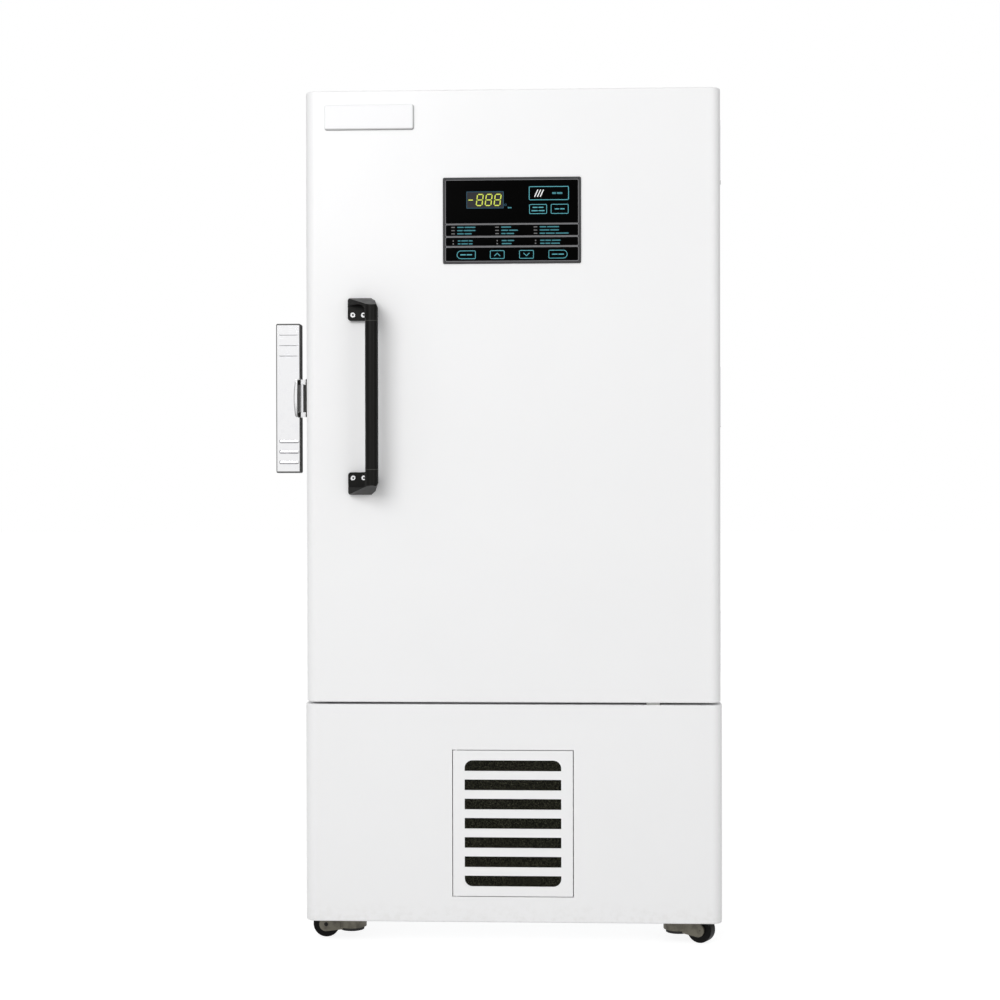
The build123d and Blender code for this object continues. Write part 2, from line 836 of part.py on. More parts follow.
fan_centre = Plane(origin=(0, fan_front_y, fan_z), x_dir=(1, 0, 0), z_dir=(0, 1, 0))
with BuildPart() as fan_blades:
    with BuildSketch(fan_centre):
        Circle(fan_hub_radius)
    extrude(amount=fan_hub_length)
    fillet(edges().group_by(Axis.Y)[0], fold_radius)
    for k in range(fan_blade_count):
        turn = Rot(0, 0, k * 360 / fan_blade_count) * Rot(fan_blade_pitch_deg, 0, 0)
        root = fan_centre.offset(fan_hub_length / 2).location * turn
        with BuildSketch(Plane(root)):
            with Locations(((fan_radius + fan_hub_radius) / 2 - fan_blade_thickness, 0)):
                Rectangle(fan_radius - fan_hub_radius, fan_blade_chord)
        extrude(amount=fan_blade_thickness / 2, both=True)
    with BuildSketch(fan_centre):
        Circle(fan_radius)
    extrude(amount=fan_hub_length, mode=Mode.INTERSECT)
    with BuildSketch(fan_centre.offset(fan_hub_length)):
        Circle(motor_shaft_radius + running_clearance)
    extrude(amount=-fan_hub_length / 2, mode=Mode.SUBTRACT)
keep("fan_blades", fan_blades.part)

motor_plane = fan_centre.offset(motor_front_y - fan_front_y)
strut_plane = fan_centre.offset(shroud_front_y + shroud_ring_depth - fan_front_y - strut_thickness)
with BuildPart() as fan_motor:
    with BuildSketch(motor_plane):
        Circle(motor_radius)
    extrude(amount=motor_length)
    chamfer(edges().group_by(Axis.Y)[-1], fold_radius)
    with BuildSketch(motor_plane):
        Circle(motor_shaft_radius)
    extrude(amount=-(motor_gap + fan_hub_length / 2 - part_clearance))
    with BuildSketch(strut_plane):
        with PolarLocations(strut_reach / 2, strut_count, start_angle=90):
            Rectangle(strut_reach, strut_width)
    extrude(amount=strut_thickness)
keep("fan_motor", fan_motor.part)

# Compressors: two welded domes, one for each stage, on rubber feet
compressor_x = cabinet_side_x - compressor_side_inset
compressor_y = cabinet_rear_y - compressor_rear_inset
can_bottom_z = chassis_top_z + compressor_foot_height
can_top_z = can_bottom_z + compressor_can_height
with BuildPart() as compressors:
    for side in (-1, 1):
        axis_point = (side * compressor_x, compressor_y, 0)
        with BuildSketch(Plane(origin=axis_point, x_dir=(1, 0, 0), z_dir=(0, -1, 0))):
            with BuildLine():
                Polyline(
                    (0, can_bottom_z),
                    (compressor_radius, can_bottom_z),
                    (compressor_radius, can_top_z),
                    (0, can_top_z),
                    close=True,
                )
            make_face()
            rims = vertices().group_by(Axis.X)[-1].sort_by(Axis.Y)
            fillet(rims[0], compressor_sole_radius)
            fillet(rims[-1], compressor_dome_radius)
        revolve(axis=Axis(axis_point, (0, 0, 1)))
        with BuildSketch(level(can_bottom_z + compressor_seam_z)):
            with Locations((side * compressor_x, compressor_y)):
                Circle(compressor_seam_radius)
        extrude(amount=compressor_seam_height)
        with BuildSketch(level(chassis_top_z + compressor_foot_height)):
            with Locations((side * compressor_x, compressor_y)):
                RectangleRounded(
                    2 * compressor_foot_spread + 2 * compressor_foot_radius,
                    2 * compressor_foot_spread + 2 * compressor_foot_radius,
                    compressor_foot_radius,
                )
        extrude(amount=chassis_thickness)
keep("compressors", compressors.part)

with BuildPart() as compressor_grommets:
    for side in (-1, 1):
        with BuildSketch(level(chassis_top_z)):
            with Locations((side * compressor_x, compressor_y)):
                with GridLocations(2 * compressor_foot_spread, 2 * compressor_foot_spread, 2, 2):
                    Circle(grommet_radius)
        extrude(amount=compressor_foot_height)
keep("compressor_grommets", compressor_grommets.part)

# Cascade heat exchanger: brazed plate pack between the two stages, on a bracket
exchanger_bottom_z = chassis_top_z + exchanger_rise
exchanger_mid_z = exchanger_bottom_z + exchanger_height / 2
exchanger_y = cabinet_rear_y - exchanger_rear_inset
exchanger_front_y = exchanger_y - exchanger_depth / 2
with BuildPart() as cascade_exchanger:
    with BuildSketch(level(exchanger_bottom_z)):
        with Locations((0, exchanger_y)):
            RectangleRounded(exchanger_width, exchanger_depth, fold_radius)
    extrude(amount=exchanger_height)
    with BuildSketch(upright(exchanger_front_y)):
        with Locations((0, exchanger_mid_z)):
            with GridLocations(stub_spread_x, stub_spread_z, 2, 2):
                Circle(stub_radius)
    extrude(amount=stub_length)
    with BuildSketch(level(chassis_top_z)):
        with Locations((0, exchanger_y)):
            Rectangle(exchanger_width + 2 * exchanger_rise, exchanger_depth)
    extrude(amount=chassis_thickness)
    with BuildSketch(level(chassis_top_z)):
        with Locations((0, exchanger_y)):
            Rectangle(exchanger_width, chassis_thickness)
    extrude(amount=exchanger_rise)
keep("cascade_exchanger", cascade_exchanger.part)

# Refrigerant pipes: straight runs joined by bends, from stage to stage
pipe_stub_y = exchanger_front_y - stub_length
pipe_high_z = exchanger_mid_z + stub_spread_z / 2
pipe_low_z = exchanger_mid_z - stub_spread_z / 2
pipe_join_x = compressor_x - compressor_radius
pipe_join_z = can_bottom_z + compressor_can_height / 2
with BuildPart() as refrigerant_pipes:
    for side in (-1, 1):
        for join_z, stub_z in ((pipe_join_z, pipe_high_z), (pipe_low_z, pipe_low_z)):
            route = [
                (side * pipe_join_x, compressor_y, join_z),
                (side * stub_spread_x / 2, compressor_y, join_z),
                (side * stub_spread_x / 2, compressor_y, stub_z),
                (side * stub_spread_x / 2, pipe_stub_y, stub_z),
            ]
            if join_z == stub_z:
                route.pop(2)
            with BuildLine() as path:
                FilletPolyline(*route, radius=pipe_bend)
            with BuildSketch(Plane(origin=path.line @ 0, z_dir=path.line % 0)):
                Circle(pipe_radius)
            sweep()
keep("refrigerant_pipes", refrigerant_pipes.part)

# Electrical box behind the rear cover, with the power inlet and the main switch
box_mid_x = inlet_x + switch_gap_x / 2
box_rear_y = back_panel_y
switch_mid_x = inlet_x + switch_gap_x
with BuildPart() as electrical_box:
    with BuildSketch(upright(box_rear_y - box_depth)):
        with Locations((box_mid_x, inlet_z)):
            Rectangle(box_width, box_height)
    extrude(amount=-box_depth)
    with BuildSketch(upright(box_rear_y - box_depth + box_wall)):
        with Locations((box_mid_x, inlet_z)):
            Rectangle(box_width - 2 * box_wall, box_height - 2 * box_wall)
    extrude(amount=-(box_depth - box_wall), mode=Mode.SUBTRACT)
    with BuildSketch(level(chassis_top_z)):
        with Locations((box_mid_x, box_rear_y - box_depth / 2)):
            Rectangle(box_width, box_depth)
    extrude(amount=box_foot_height)
keep("electrical_box", electrical_box.part)

# Door fittings
panel_mid_z = total_height - panel_drop
overlay_width = panel_width - 2 * overlay_border
overlay_height = panel_height - 2 * overlay_border
window_width = panel_width - 2 * window_border
window_height = panel_height - 2 * window_border

key_sizes = {
    "key_display": (wide_key_width, small_key_height),
    "key_silence": (wide_key_width, small_key_height),
    "key_mode": (corner_key_width, key_height),
    "key_up": (arrow_key_width, key_height),
    "key_down": (arrow_key_width, key_height),
    "key_enter": (corner_key_width, key_height),
}

# Power inlet and main switch: one moulded module through the rear cover
inlet_face_y = cabinet_rear_y + inlet_lip_thickness
module_mid_x = inlet_x + switch_gap_x / 2
module_width = switch_gap_x + (inlet_width + switch_width) / 2 + 2 * inlet_lip
module_height = max(inlet_height, switch_height) + 2 * inlet_lip
rocker_axis_y = cabinet_rear_y - rocker_axis_depth
with BuildPart() as power_inlet:
    with BuildSketch(upright(cabinet_rear_y - inlet_depth)):
        with Locations((inlet_x, inlet_z)):
            Rectangle(inlet_width, inlet_height)
        with Locations((switch_mid_x, inlet_z)):
            Rectangle(switch_width, switch_height)
    extrude(amount=-inlet_depth)
    with BuildSketch(upright(cabinet_rear_y)):
        with Locations((module_mid_x, inlet_z)):
            RectangleRounded(module_width, module_height, fold_radius)
    extrude(amount=-inlet_lip_thickness)
    with BuildSketch(upright(inlet_face_y)):
        with Locations((inlet_x, inlet_z)):
            Rectangle(inlet_width - 2 * inlet_wall, inlet_height - 2 * inlet_wall)
        with Locations((switch_mid_x, inlet_z)):
            Rectangle(switch_width - 2 * switch_wall, switch_height - 2 * switch_wall)
    extrude(amount=inlet_recess, mode=Mode.SUBTRACT)
    with BuildSketch(upright(inlet_face_y - inlet_recess)):
        with Locations((inlet_x, inlet_z)):
            with GridLocations(inlet_blade_spread, 0, 3, 1):
                Rectangle(inlet_blade_width, inlet_blade_height)
    extrude(amount=-(inlet_recess - inlet_lip_thickness))
    with BuildSketch(sideways(switch_mid_x - switch_width / 2)):
        with Locations((rocker_axis_y, inlet_z)):
            Circle(rocker_pin_radius + running_clearance)
    extrude(amount=switch_width, mode=Mode.SUBTRACT)
keep("power_inlet", power_inlet.part)

rocker_plane = Plane(
    origin=(switch_mid_x, rocker_axis_y, inlet_z),
    x_dir=(0, cos(radians(rocker_tilt_deg)), sin(radians(rocker_tilt_deg))),
    z_dir=(1, 0, 0),
)
rocker_half_width = switch_width / 2 - switch_wall - part_clearance
rocker_half_height = switch_height / 2 - switch_wall - rocker_end_clearance
with BuildPart() as switch_rocker:
    with BuildSketch(rocker_plane):
        with BuildLine():
            Polyline(
                (rocker_valley, 0),
                (rocker_crest, rocker_half_height),
                (0, rocker_half_height),
                (-rocker_root, rocker_half_height / 2),
                (-rocker_root, -rocker_half_height / 2),
                (0, -rocker_half_height),
                (rocker_crest, -rocker_half_height),
                close=True,
            )
        make_face()
    extrude(amount=rocker_half_width, both=True)
    with BuildSketch(rocker_plane):
        Circle(rocker_pin_radius)
    extrude(amount=switch_width / 2, both=True)
keep("switch_rocker", switch_rocker.part)

# Outer door: painted pan, foam, inner liner with a plug, and the gasket
with BuildPart() as door_shell:
    with BuildSketch(level(door_bottom_z)):
        rounded_front(door_width, door_front_y, door_rear_y, front_corner_radius)
    extrude(amount=door_height)
    rims = edges().group_by(Axis.Z)[0] + edges().group_by(Axis.Z)[-1]
    fillet(rims.filter_by(lambda e: e.center().Y < door_rear_y - sheet), fold_radius)
    with BuildSketch(level(door_bottom_z + sheet)):
        rounded_front(
            door_width - 2 * sheet,
            door_front_y + sheet,
            door_rear_y + cut_overrun,
            front_corner_radius - sheet,
        )
    extrude(amount=door_height - 2 * sheet, mode=Mode.SUBTRACT)
    with BuildSketch(upright(door_front_y)):
        with Locations((0, panel_mid_z)):
            Rectangle(window_width, window_height)
    extrude(amount=-cut_overrun, mode=Mode.SUBTRACT)
keep("door_shell", door_shell.part)

door_foam_front_y = door_front_y + sheet
door_foam_rear_y = door_rear_y - liner_wall
with BuildPart() as door_insulation:
    with BuildSketch(level(door_bottom_z + sheet)):
        rounded_front(
            door_width - 2 * sheet, door_foam_front_y, door_foam_rear_y, front_corner_radius - sheet
        )
    extrude(amount=door_height - 2 * sheet)
    with BuildSketch(upright(door_foam_front_y)):
        with Locations((0, panel_mid_z)):
            Rectangle(window_width, window_height)
    extrude(amount=-panel_pocket_depth, mode=Mode.SUBTRACT)
    with BuildSketch(upright(door_foam_rear_y)):
        with Locations((0, chamber_mid_z)):
            RectangleRounded(
                plug_width - 2 * liner_wall, plug_height - 2 * liner_wall, door_plug_radius - liner_wall
            )
    extrude(amount=-door_plug_depth)
keep("door_insulation", door_insulation.part)

with BuildPart() as door_liner:
    with BuildSketch(upright(door_foam_rear_y)):
        with Locations((0, door_mid_z)):
            Rectangle(door_width - 2 * sheet, door_height - 2 * sheet)
    extrude(amount=-liner_wall)
    with BuildSketch(upright(door_rear_y)):
        with Locations((0, chamber_mid_z)):
            RectangleRounded(plug_width, plug_height, door_plug_radius)
    extrude(amount=-door_plug_depth)
    fillet(faces().sort_by(Axis.Y)[-1].edges(), fold_radius / 2)
    with BuildSketch(upright(door_foam_rear_y)):
        with Locations((0, chamber_mid_z)):
            RectangleRounded(
                plug_width - 2 * liner_wall, plug_height - 2 * liner_wall, door_plug_radius - liner_wall
            )
    extrude(amount=-door_plug_depth, mode=Mode.SUBTRACT)
keep("door_liner", door_liner.part)

gasket_inner_width = chamber_width + 2 * gasket_inset
gasket_inner_height = chamber_height + 2 * gasket_inset
with BuildPart() as door_gasket:
    with BuildSketch(upright(door_rear_y)):
        with Locations((0, chamber_mid_z)):
            RectangleRounded(
                gasket_inner_width + 2 * gasket_width, gasket_inner_height + 2 * gasket_width, gasket_width
            )
            Rectangle(gasket_inner_width, gasket_inner_height, mode=Mode.SUBTRACT)
    extrude(amount=-(gasket_depth - part_clearance))
    fillet(faces().sort_by(Axis.Y)[-1].edges(), gasket_lip_radius)
keep("door_gasket", door_gasket.part)

# Hinges: three butt hinges on the right side, their knuckles in the gasket gap
hinge_axis_x = door_side_x + hinge_axis_offset
hinge_axis_y = door_rear_y + gasket_depth / 2
leaf_thickness = door_side_step
knuckle_height = hinge_height / 3
hinge_levels = [door_bottom_z + share * door_height for share in hinge_level_shares]
with BuildPart() as hinge_leaves_cabinet:
    for hinge_z in hinge_levels:
        low_z = hinge_z - hinge_height / 2
        with BuildSketch(level(low_z)):
            with Locations((cabinet_side_x + leaf_thickness / 2, cabinet_front_y + leaf_length / 2)):
                Rectangle(leaf_thickness, leaf_length)
        extrude(amount=hinge_height)
        with BuildSketch(level(low_z), level(low_z + 2 * knuckle_height)):
            with Locations((hinge_axis_x, hinge_axis_y)):
                Circle(knuckle_radius)
            with Locations((cabinet_side_x + leaf_thickness / 2, (hinge_axis_y + cabinet_front_y) / 2)):
                Rectangle(leaf_thickness, cabinet_front_y - hinge_axis_y)
        extrude(amount=knuckle_height)
        with BuildSketch(level(low_z)):
            with Locations((hinge_axis_x, hinge_axis_y)):
                Circle(hinge_pin_radius)
        extrude(amount=hinge_height)
keep("hinge_leaves_cabinet", hinge_leaves_cabinet.part)

with BuildPart() as hinge_leaves_door:
    for hinge_z in hinge_levels:
        with BuildSketch(level(hinge_z - hinge_height / 2)):
            with Locations((door_side_x + leaf_thickness / 2, door_rear_y - leaf_length / 2)):
                Rectangle(leaf_thickness, leaf_length)
        extrude(amount=hinge_height)
        with BuildSketch(level(hinge_z - knuckle_height / 2 + part_clearance)):
            with Locations((hinge_axis_x, hinge_axis_y)):
                Circle(knuckle_radius)
            with Locations((door_side_x + leaf_thickness / 2, (hinge_axis_y + door_rear_y) / 2)):
                Rectangle(leaf_thickness, hinge_axis_y - door_rear_y)
            with Locations((hinge_axis_x, hinge_axis_y)):
                Circle(hinge_pin_radius + running_clearance, mode=Mode.SUBTRACT)
        extrude(amount=knuckle_height - 2 * part_clearance)
keep("hinge_leaves_door", hinge_leaves_door.part)

# Latch on the left side: base with two ears, lever with a hook, strike with a post
latch_axis_x = -(door_side_x + latch_axis_offset)
latch_axis_y = door_front_y + latch_axis_setback
latch_plate_x = -(door_side_x + latch_plate_thickness)
ear_inner = latch_hub_height / 2 + latch_ear_gap
with BuildPart() as latch_base:
    with BuildSketch(sideways(-door_side_x)):
        with Locations((latch_axis_y, door_mid_z)):
            RectangleRounded(latch_plate_length, latch_plate_height, fold_radius)
    extrude(amount=-latch_plate_thickness)
    for low in (ear_inner, -ear_inner - latch_ear_thickness):
        with BuildSketch(level(door_mid_z + low)):
            with Locations((latch_axis_x, latch_axis_y)):
                Circle(latch_ear_radius)
            with Locations(((latch_axis_x + latch_plate_x) / 2, latch_axis_y)):
                Rectangle(latch_plate_x - latch_axis_x, 2 * latch_ear_radius)
        extrude(amount=latch_ear_thickness)
    with BuildSketch(level(door_mid_z - ear_inner - latch_ear_thickness)):
        with Locations((latch_axis_x, latch_axis_y)):
            Circle(latch_pin_radius)
    extrude(amount=2 * (ear_inner + latch_ear_thickness))
keep("latch_base", latch_base.part)

grip_right_x = latch_axis_x - grip_axis_inset
grip_mid_x = grip_right_x - grip_width / 2
grip_front_y = latch_axis_y - grip_depth / 2
hook_outer_x = grip_right_x - hook_thickness
hook_end_y = latch_axis_y + hook_reach
claw_tip_x = grip_right_x + claw_length
ear_band = latch_ear_thickness + 2 * latch_ear_gap
grip_rib_step = grip_rib_width + grip_rib_gap
with BuildPart() as latch_lever:
    with BuildSketch(level(door_mid_z - grip_height / 2)):
        with Locations((grip_mid_x, latch_axis_y)):
            Rectangle(grip_width, grip_depth)
    extrude(amount=grip_height)
    fillet(edges().filter_by(Axis.Z).group_by(Axis.Y)[0], grip_corner)
    fillet(edges().filter_by(Axis.Y), grip_corner)
    with BuildSketch(level(door_mid_z - grip_height / 2 + grip_wall)):
        with Locations((grip_mid_x, latch_axis_y + grip_wall)):
            Rectangle(grip_width - 2 * grip_wall, grip_depth)
    extrude(amount=grip_height - 2 * grip_wall, mode=Mode.SUBTRACT)
    with BuildSketch(upright(grip_front_y)):
        for side in (-1, 1):
            for row in range(grip_rib_rows):
                rib_z = door_mid_z + side * (grip_height / 2 - grip_rib_inset - row * grip_rib_step)
                with Locations((grip_mid_x, rib_z)):
                    SlotOverall(grip_width - 2 * grip_corner, grip_rib_width)
    extrude(amount=grip_rib_height)
    for low in (ear_inner - latch_ear_gap, -ear_inner - latch_ear_thickness - latch_ear_gap):
        with BuildSketch(level(door_mid_z + low)):
            with Locations((latch_axis_x, latch_axis_y)):
                Rectangle(2 * (latch_ear_radius + grip_axis_inset), grip_depth - 2 * grip_wall)
            with Locations((grip_right_x, latch_axis_y)):
                Rectangle(2 * grip_notch, grip_depth + 2 * cut_overrun)
        extrude(amount=ear_band, mode=Mode.SUBTRACT)
    with BuildSketch(level(door_mid_z - latch_hub_height / 2)):
        with Locations((latch_axis_x, latch_axis_y)):
            Circle(latch_hub_radius)
            Circle(latch_pin_radius + running_clearance, mode=Mode.SUBTRACT)
    extrude(amount=latch_hub_height)
    with BuildSketch(level(door_mid_z - hook_height / 2)):
        with BuildLine():
            Polyline(
                (hook_outer_x, latch_axis_y),
                (hook_outer_x, hook_end_y),
                (claw_tip_x, hook_end_y),
                (claw_tip_x, hook_end_y - claw_thickness),
                (grip_right_x, hook_end_y - claw_thickness),
                (grip_right_x, latch_axis_y),
                close=True,
            )
        make_face()
    extrude(amount=hook_height)
    with BuildSketch(level(door_mid_z - latch_hub_height / 2)):
        with Locations((latch_axis_x, latch_axis_y)):
            Circle(latch_pin_radius + running_clearance)
    extrude(amount=latch_hub_height, mode=Mode.SUBTRACT)
keep("latch_lever", latch_lever.part)

post_x = grip_right_x + post_radius + post_gap
post_y = hook_end_y - claw_thickness - part_clearance - post_radius
strike_ear_inner = hook_height / 2 + strike_ear_gap
with BuildPart() as latch_strike:
    with BuildSketch(sideways(-cabinet_side_x)):
        with Locations((cabinet_front_y + strike_inset + strike_length / 2, door_mid_z)):
            RectangleRounded(strike_length, strike_height, fold_radius)
    extrude(amount=-strike_thickness)
    for low in (strike_ear_inner, -strike_ear_inner - strike_ear_thickness):
        with BuildSketch(level(door_mid_z + low)):
            with Locations((post_x, post_y)):
                Circle(strike_ear_radius)
            with Locations(((post_x - cabinet_side_x) / 2, post_y)):
                Rectangle(-cabinet_side_x - post_x, 2 * strike_ear_radius)
            with Locations((strike_ear_radius - cabinet_side_x, post_y)):
                Rectangle(2 * strike_ear_radius, 2 * strike_ear_radius, mode=Mode.SUBTRACT)
        extrude(amount=strike_ear_thickness)
    with BuildSketch(level(door_mid_z - strike_ear_inner)):
        with Locations((post_x, post_y)):
            Circle(post_radius)
    extrude(amount=2 * strike_ear_inner)
keep("latch_strike", latch_strike.part)

# Door handle: a tube between two offset shanks, each held by two screws
tube_y = door_front_y - tube_standoff
handle_foot_x = handle_side_inset - door_side_x
tube_x = handle_foot_x + tube_offset
shank_low = tube_length / 2
shank_high = shank_low + shank_height
foot_low = shank_low + shank_collar
foot_left_x = handle_foot_x - handle_foot_width / 2
foot_right_x = handle_foot_x + handle_foot_width / 2
shank_front_y = tube_y - tube_radius
with BuildPart() as handle_shanks:
    for side in (-1, 1):
        with BuildSketch(level(door_mid_z + side * shank_low)):
            with Locations((tube_x, tube_y)):
                Circle(tube_radius)
        extrude(amount=side * shank_collar)
        foot_z = door_mid_z + side * foot_low
        end_z = door_mid_z + side * shank_high
        with BuildSketch(level(min(foot_z, end_z))):
            with Locations((handle_foot_x, door_front_y - handle_foot_thickness / 2)):
                Rectangle(handle_foot_width, handle_foot_thickness)
            with Locations((tube_x, tube_y)):
                Circle(tube_radius)
            make_hull()
        extrude(amount=shank_height - shank_collar)
        with BuildSketch(sideways(foot_left_x)):
            with BuildLine():
                Polyline(
                    (door_front_y - handle_foot_thickness, end_z),
                    (shank_front_y, end_z),
                    (shank_front_y, end_z - side * shank_drop),
                    close=True,
                )
            make_face()
        extrude(amount=tube_x + tube_radius - foot_left_x, mode=Mode.SUBTRACT)
        with BuildSketch(upright(door_front_y)):
            with BuildLine():
                Polyline(
                    (tube_x + tube_radius - shank_slope_x, end_z),
                    (tube_x + tube_radius, end_z),
                    (tube_x + tube_radius, end_z - side * (shank_slope_z + shank_drop)),
                    close=True,
                )
            make_face()
        extrude(amount=tube_standoff + tube_radius, mode=Mode.SUBTRACT)
        with BuildSketch(upright(door_front_y)):
            for corner_z, inward in ((foot_z, side), (end_z, -side)):
                with Locations((foot_left_x, corner_z)):
                    Rectangle(2 * shank_corner, 2 * shank_corner)
                with Locations((foot_left_x + shank_corner, corner_z + inward * shank_corner)):
                    Circle(shank_corner, mode=Mode.SUBTRACT)
        extrude(amount=tube_standoff + tube_radius, mode=Mode.SUBTRACT)
        with BuildSketch(upright(door_front_y - handle_foot_thickness)):
            pocket_z = door_mid_z + side * (shank_low + (shank_height - shank_roof) / 2)
            with Locations((foot_left_x + (screw_seat_width - cut_overrun) / 2, pocket_z)):
                Rectangle(screw_seat_width + cut_overrun, shank_height - shank_roof)
            right_corners = vertices().group_by(Axis.X)[-1].sort_by(Axis.Z)
            fillet(right_corners[-1 if side > 0 else 0], pocket_corner)
        extrude(amount=tube_standoff + tube_radius, mode=Mode.SUBTRACT)
        with BuildSketch(level(door_mid_z + side * shank_low)):
            with Locations((tube_x, tube_y)):
                Circle(tube_radius - tube_wall)
        extrude(amount=-side * spigot_length)
keep("handle_shanks", handle_shanks.part)

with BuildPart() as handle_tube:
    with BuildSketch(level(door_mid_z - tube_length / 2)):
        with Locations((tube_x, tube_y)):
            Circle(tube_radius)
            Circle(tube_radius - tube_wall, mode=Mode.SUBTRACT)
    extrude(amount=tube_length)
keep("handle_tube", handle_tube.part)

with BuildPart() as handle_screws:
    with BuildSketch(upright(door_front_y - handle_foot_thickness)):
        with Locations((handle_foot_x, door_mid_z)):
            with GridLocations(screw_span_x, screw_span_z, 2, 2):
                Circle(screw_head_radius)
    extrude(amount=screw_head_height)
    chamfer(edges().group_by(Axis.Y)[0], screw_head_height / 3)
    with BuildSketch(upright(door_front_y - handle_foot_thickness - screw_head_height)):
        with Locations((handle_foot_x, door_mid_z)):
            with GridLocations(screw_span_x, screw_span_z, 2, 2):
                RegularPolygon(screw_socket_radius, 6)
    extrude(amount=-screw_head_height * 2 / 3, mode=Mode.SUBTRACT)
keep("handle_screws", handle_screws.part)

# Name plate: blank bevelled plate near the door's top left corner
plate_mid_x = plate_side_inset - door_side_x
with BuildPart() as name_plate:
    with BuildSketch(upright(door_front_y)):
        with Locations((plate_mid_x, total_height - plate_drop)):
            RectangleRounded(plate_width, plate_height, plate_corner)
    extrude(amount=plate_thickness)
    fillet(faces().sort_by(Axis.Y)[0].edges(), plate_bevel)
keep("name_plate", name_plate.part)

# Control panel: bezel, overlay with the display and six sprung keys, board behind
overlay_front_y = door_front_y - overlay_thickness
board_front_y = door_front_y + board_depth
with BuildPart() as panel_bezel:
    with BuildSketch(upright(door_front_y)):
        with Locations((0, panel_mid_z)):
            RectangleRounded(panel_width, panel_height, fold_radius)
            Rectangle(overlay_width, overlay_height, mode=Mode.SUBTRACT)
    extrude(amount=bezel_thickness)
    chamfer(faces().sort_by(Axis.Y)[0].edges(), bezel_thickness / 4)
keep("panel_bezel", panel_bezel.part)

key_places = {}
for key_name, (x_share, z_share) in key_place_shares.items():
    key_places[key_name] = (
        x_share * panel_width,
        panel_mid_z + z_share * panel_height,
        *key_sizes[key_name],
    )
with BuildPart() as panel_overlay:
    with BuildSketch(upright(door_front_y)):
        with Locations((0, panel_mid_z)):
            Rectangle(overlay_width, overlay_height)
        with Locations((display_x_share * panel_width, panel_mid_z + display_z_share * panel_height)):
            Rectangle(display_width, display_height, mode=Mode.SUBTRACT)
        for x, z, width, height in key_places.values():
            with Locations((x, z)):
                RectangleRounded(
                    width + 2 * key_clearance,
                    height + 2 * key_clearance,
                    key_corner + key_clearance,
                    mode=Mode.SUBTRACT,
                )
    extrude(amount=overlay_thickness)
    with BuildSketch(upright(door_front_y)):
        with Locations((0, panel_mid_z)):
            with GridLocations(board_width - 2 * boss_inset, board_height - 2 * boss_inset, 2, 2):
                Circle(boss_radius)
    extrude(amount=-board_depth)
keep("panel_overlay", panel_overlay.part)

with BuildPart() as display_window:
    with BuildSketch(upright(board_front_y)):
        with Locations((display_x_share * panel_width, panel_mid_z + display_z_share * panel_height)):
            Rectangle(display_width, display_height)
    extrude(amount=board_depth + overlay_thickness)
keep("display_window", display_window.part)

with BuildPart() as control_board:
    with BuildSketch(upright(board_front_y)):
        with Locations((0, panel_mid_z)):
            Rectangle(board_width, board_height)
    extrude(amount=-board_thickness)
keep("control_board", control_board.part)

for key_name, (x, z, width, height) in key_places.items():
    with BuildPart() as key:
        with BuildSketch(upright(overlay_front_y + key_length - key_proud)):
            with Locations((x, z)):
                RectangleRounded(width, height, key_corner)
        extrude(amount=key_length)
        chamfer(faces().sort_by(Axis.Y)[0].edges(), key_proud / 2)
    keep(key_name, key.part)

# Levelling casters: a plate with a stem and a pad, a swivelling housing and its wheel
caster_front_y = door_front_y + caster_inset
caster_rear_y = cabinet_rear_y - caster_inset
caster_x = cabinet_side_x - caster_inset
caster_places = {
    "fl": (-caster_x, caster_front_y, caster_turns_deg[0]),
    "fr": (caster_x, caster_front_y, caster_turns_deg[1]),
    "rl": (-caster_x, caster_rear_y, caster_turns_deg[2]),
    "rr": (caster_x, caster_rear_y, caster_turns_deg[3]),
}
plate_bottom_z = caster_height - caster_plate_thickness
with BuildPart() as caster_mounts:
    for x, y, turn_deg in caster_places.values():
        with BuildSketch(level(plate_bottom_z)):
            with Locations((x, y)):
                RectangleRounded(caster_plate_width, caster_plate_width, fold_radius)
        extrude(amount=caster_plate_thickness)
        with BuildSketch(level(pad_top_z)):
            with Locations((x, y)):
                Circle(stem_radius)
        extrude(amount=plate_bottom_z - pad_top_z)
        with BuildSketch(level(pad_bottom_z)):
            with Locations((x, y)):
                Circle(pad_radius)
        extrude(amount=pad_top_z - pad_bottom_z)
keep("caster_mounts", caster_mounts.part)

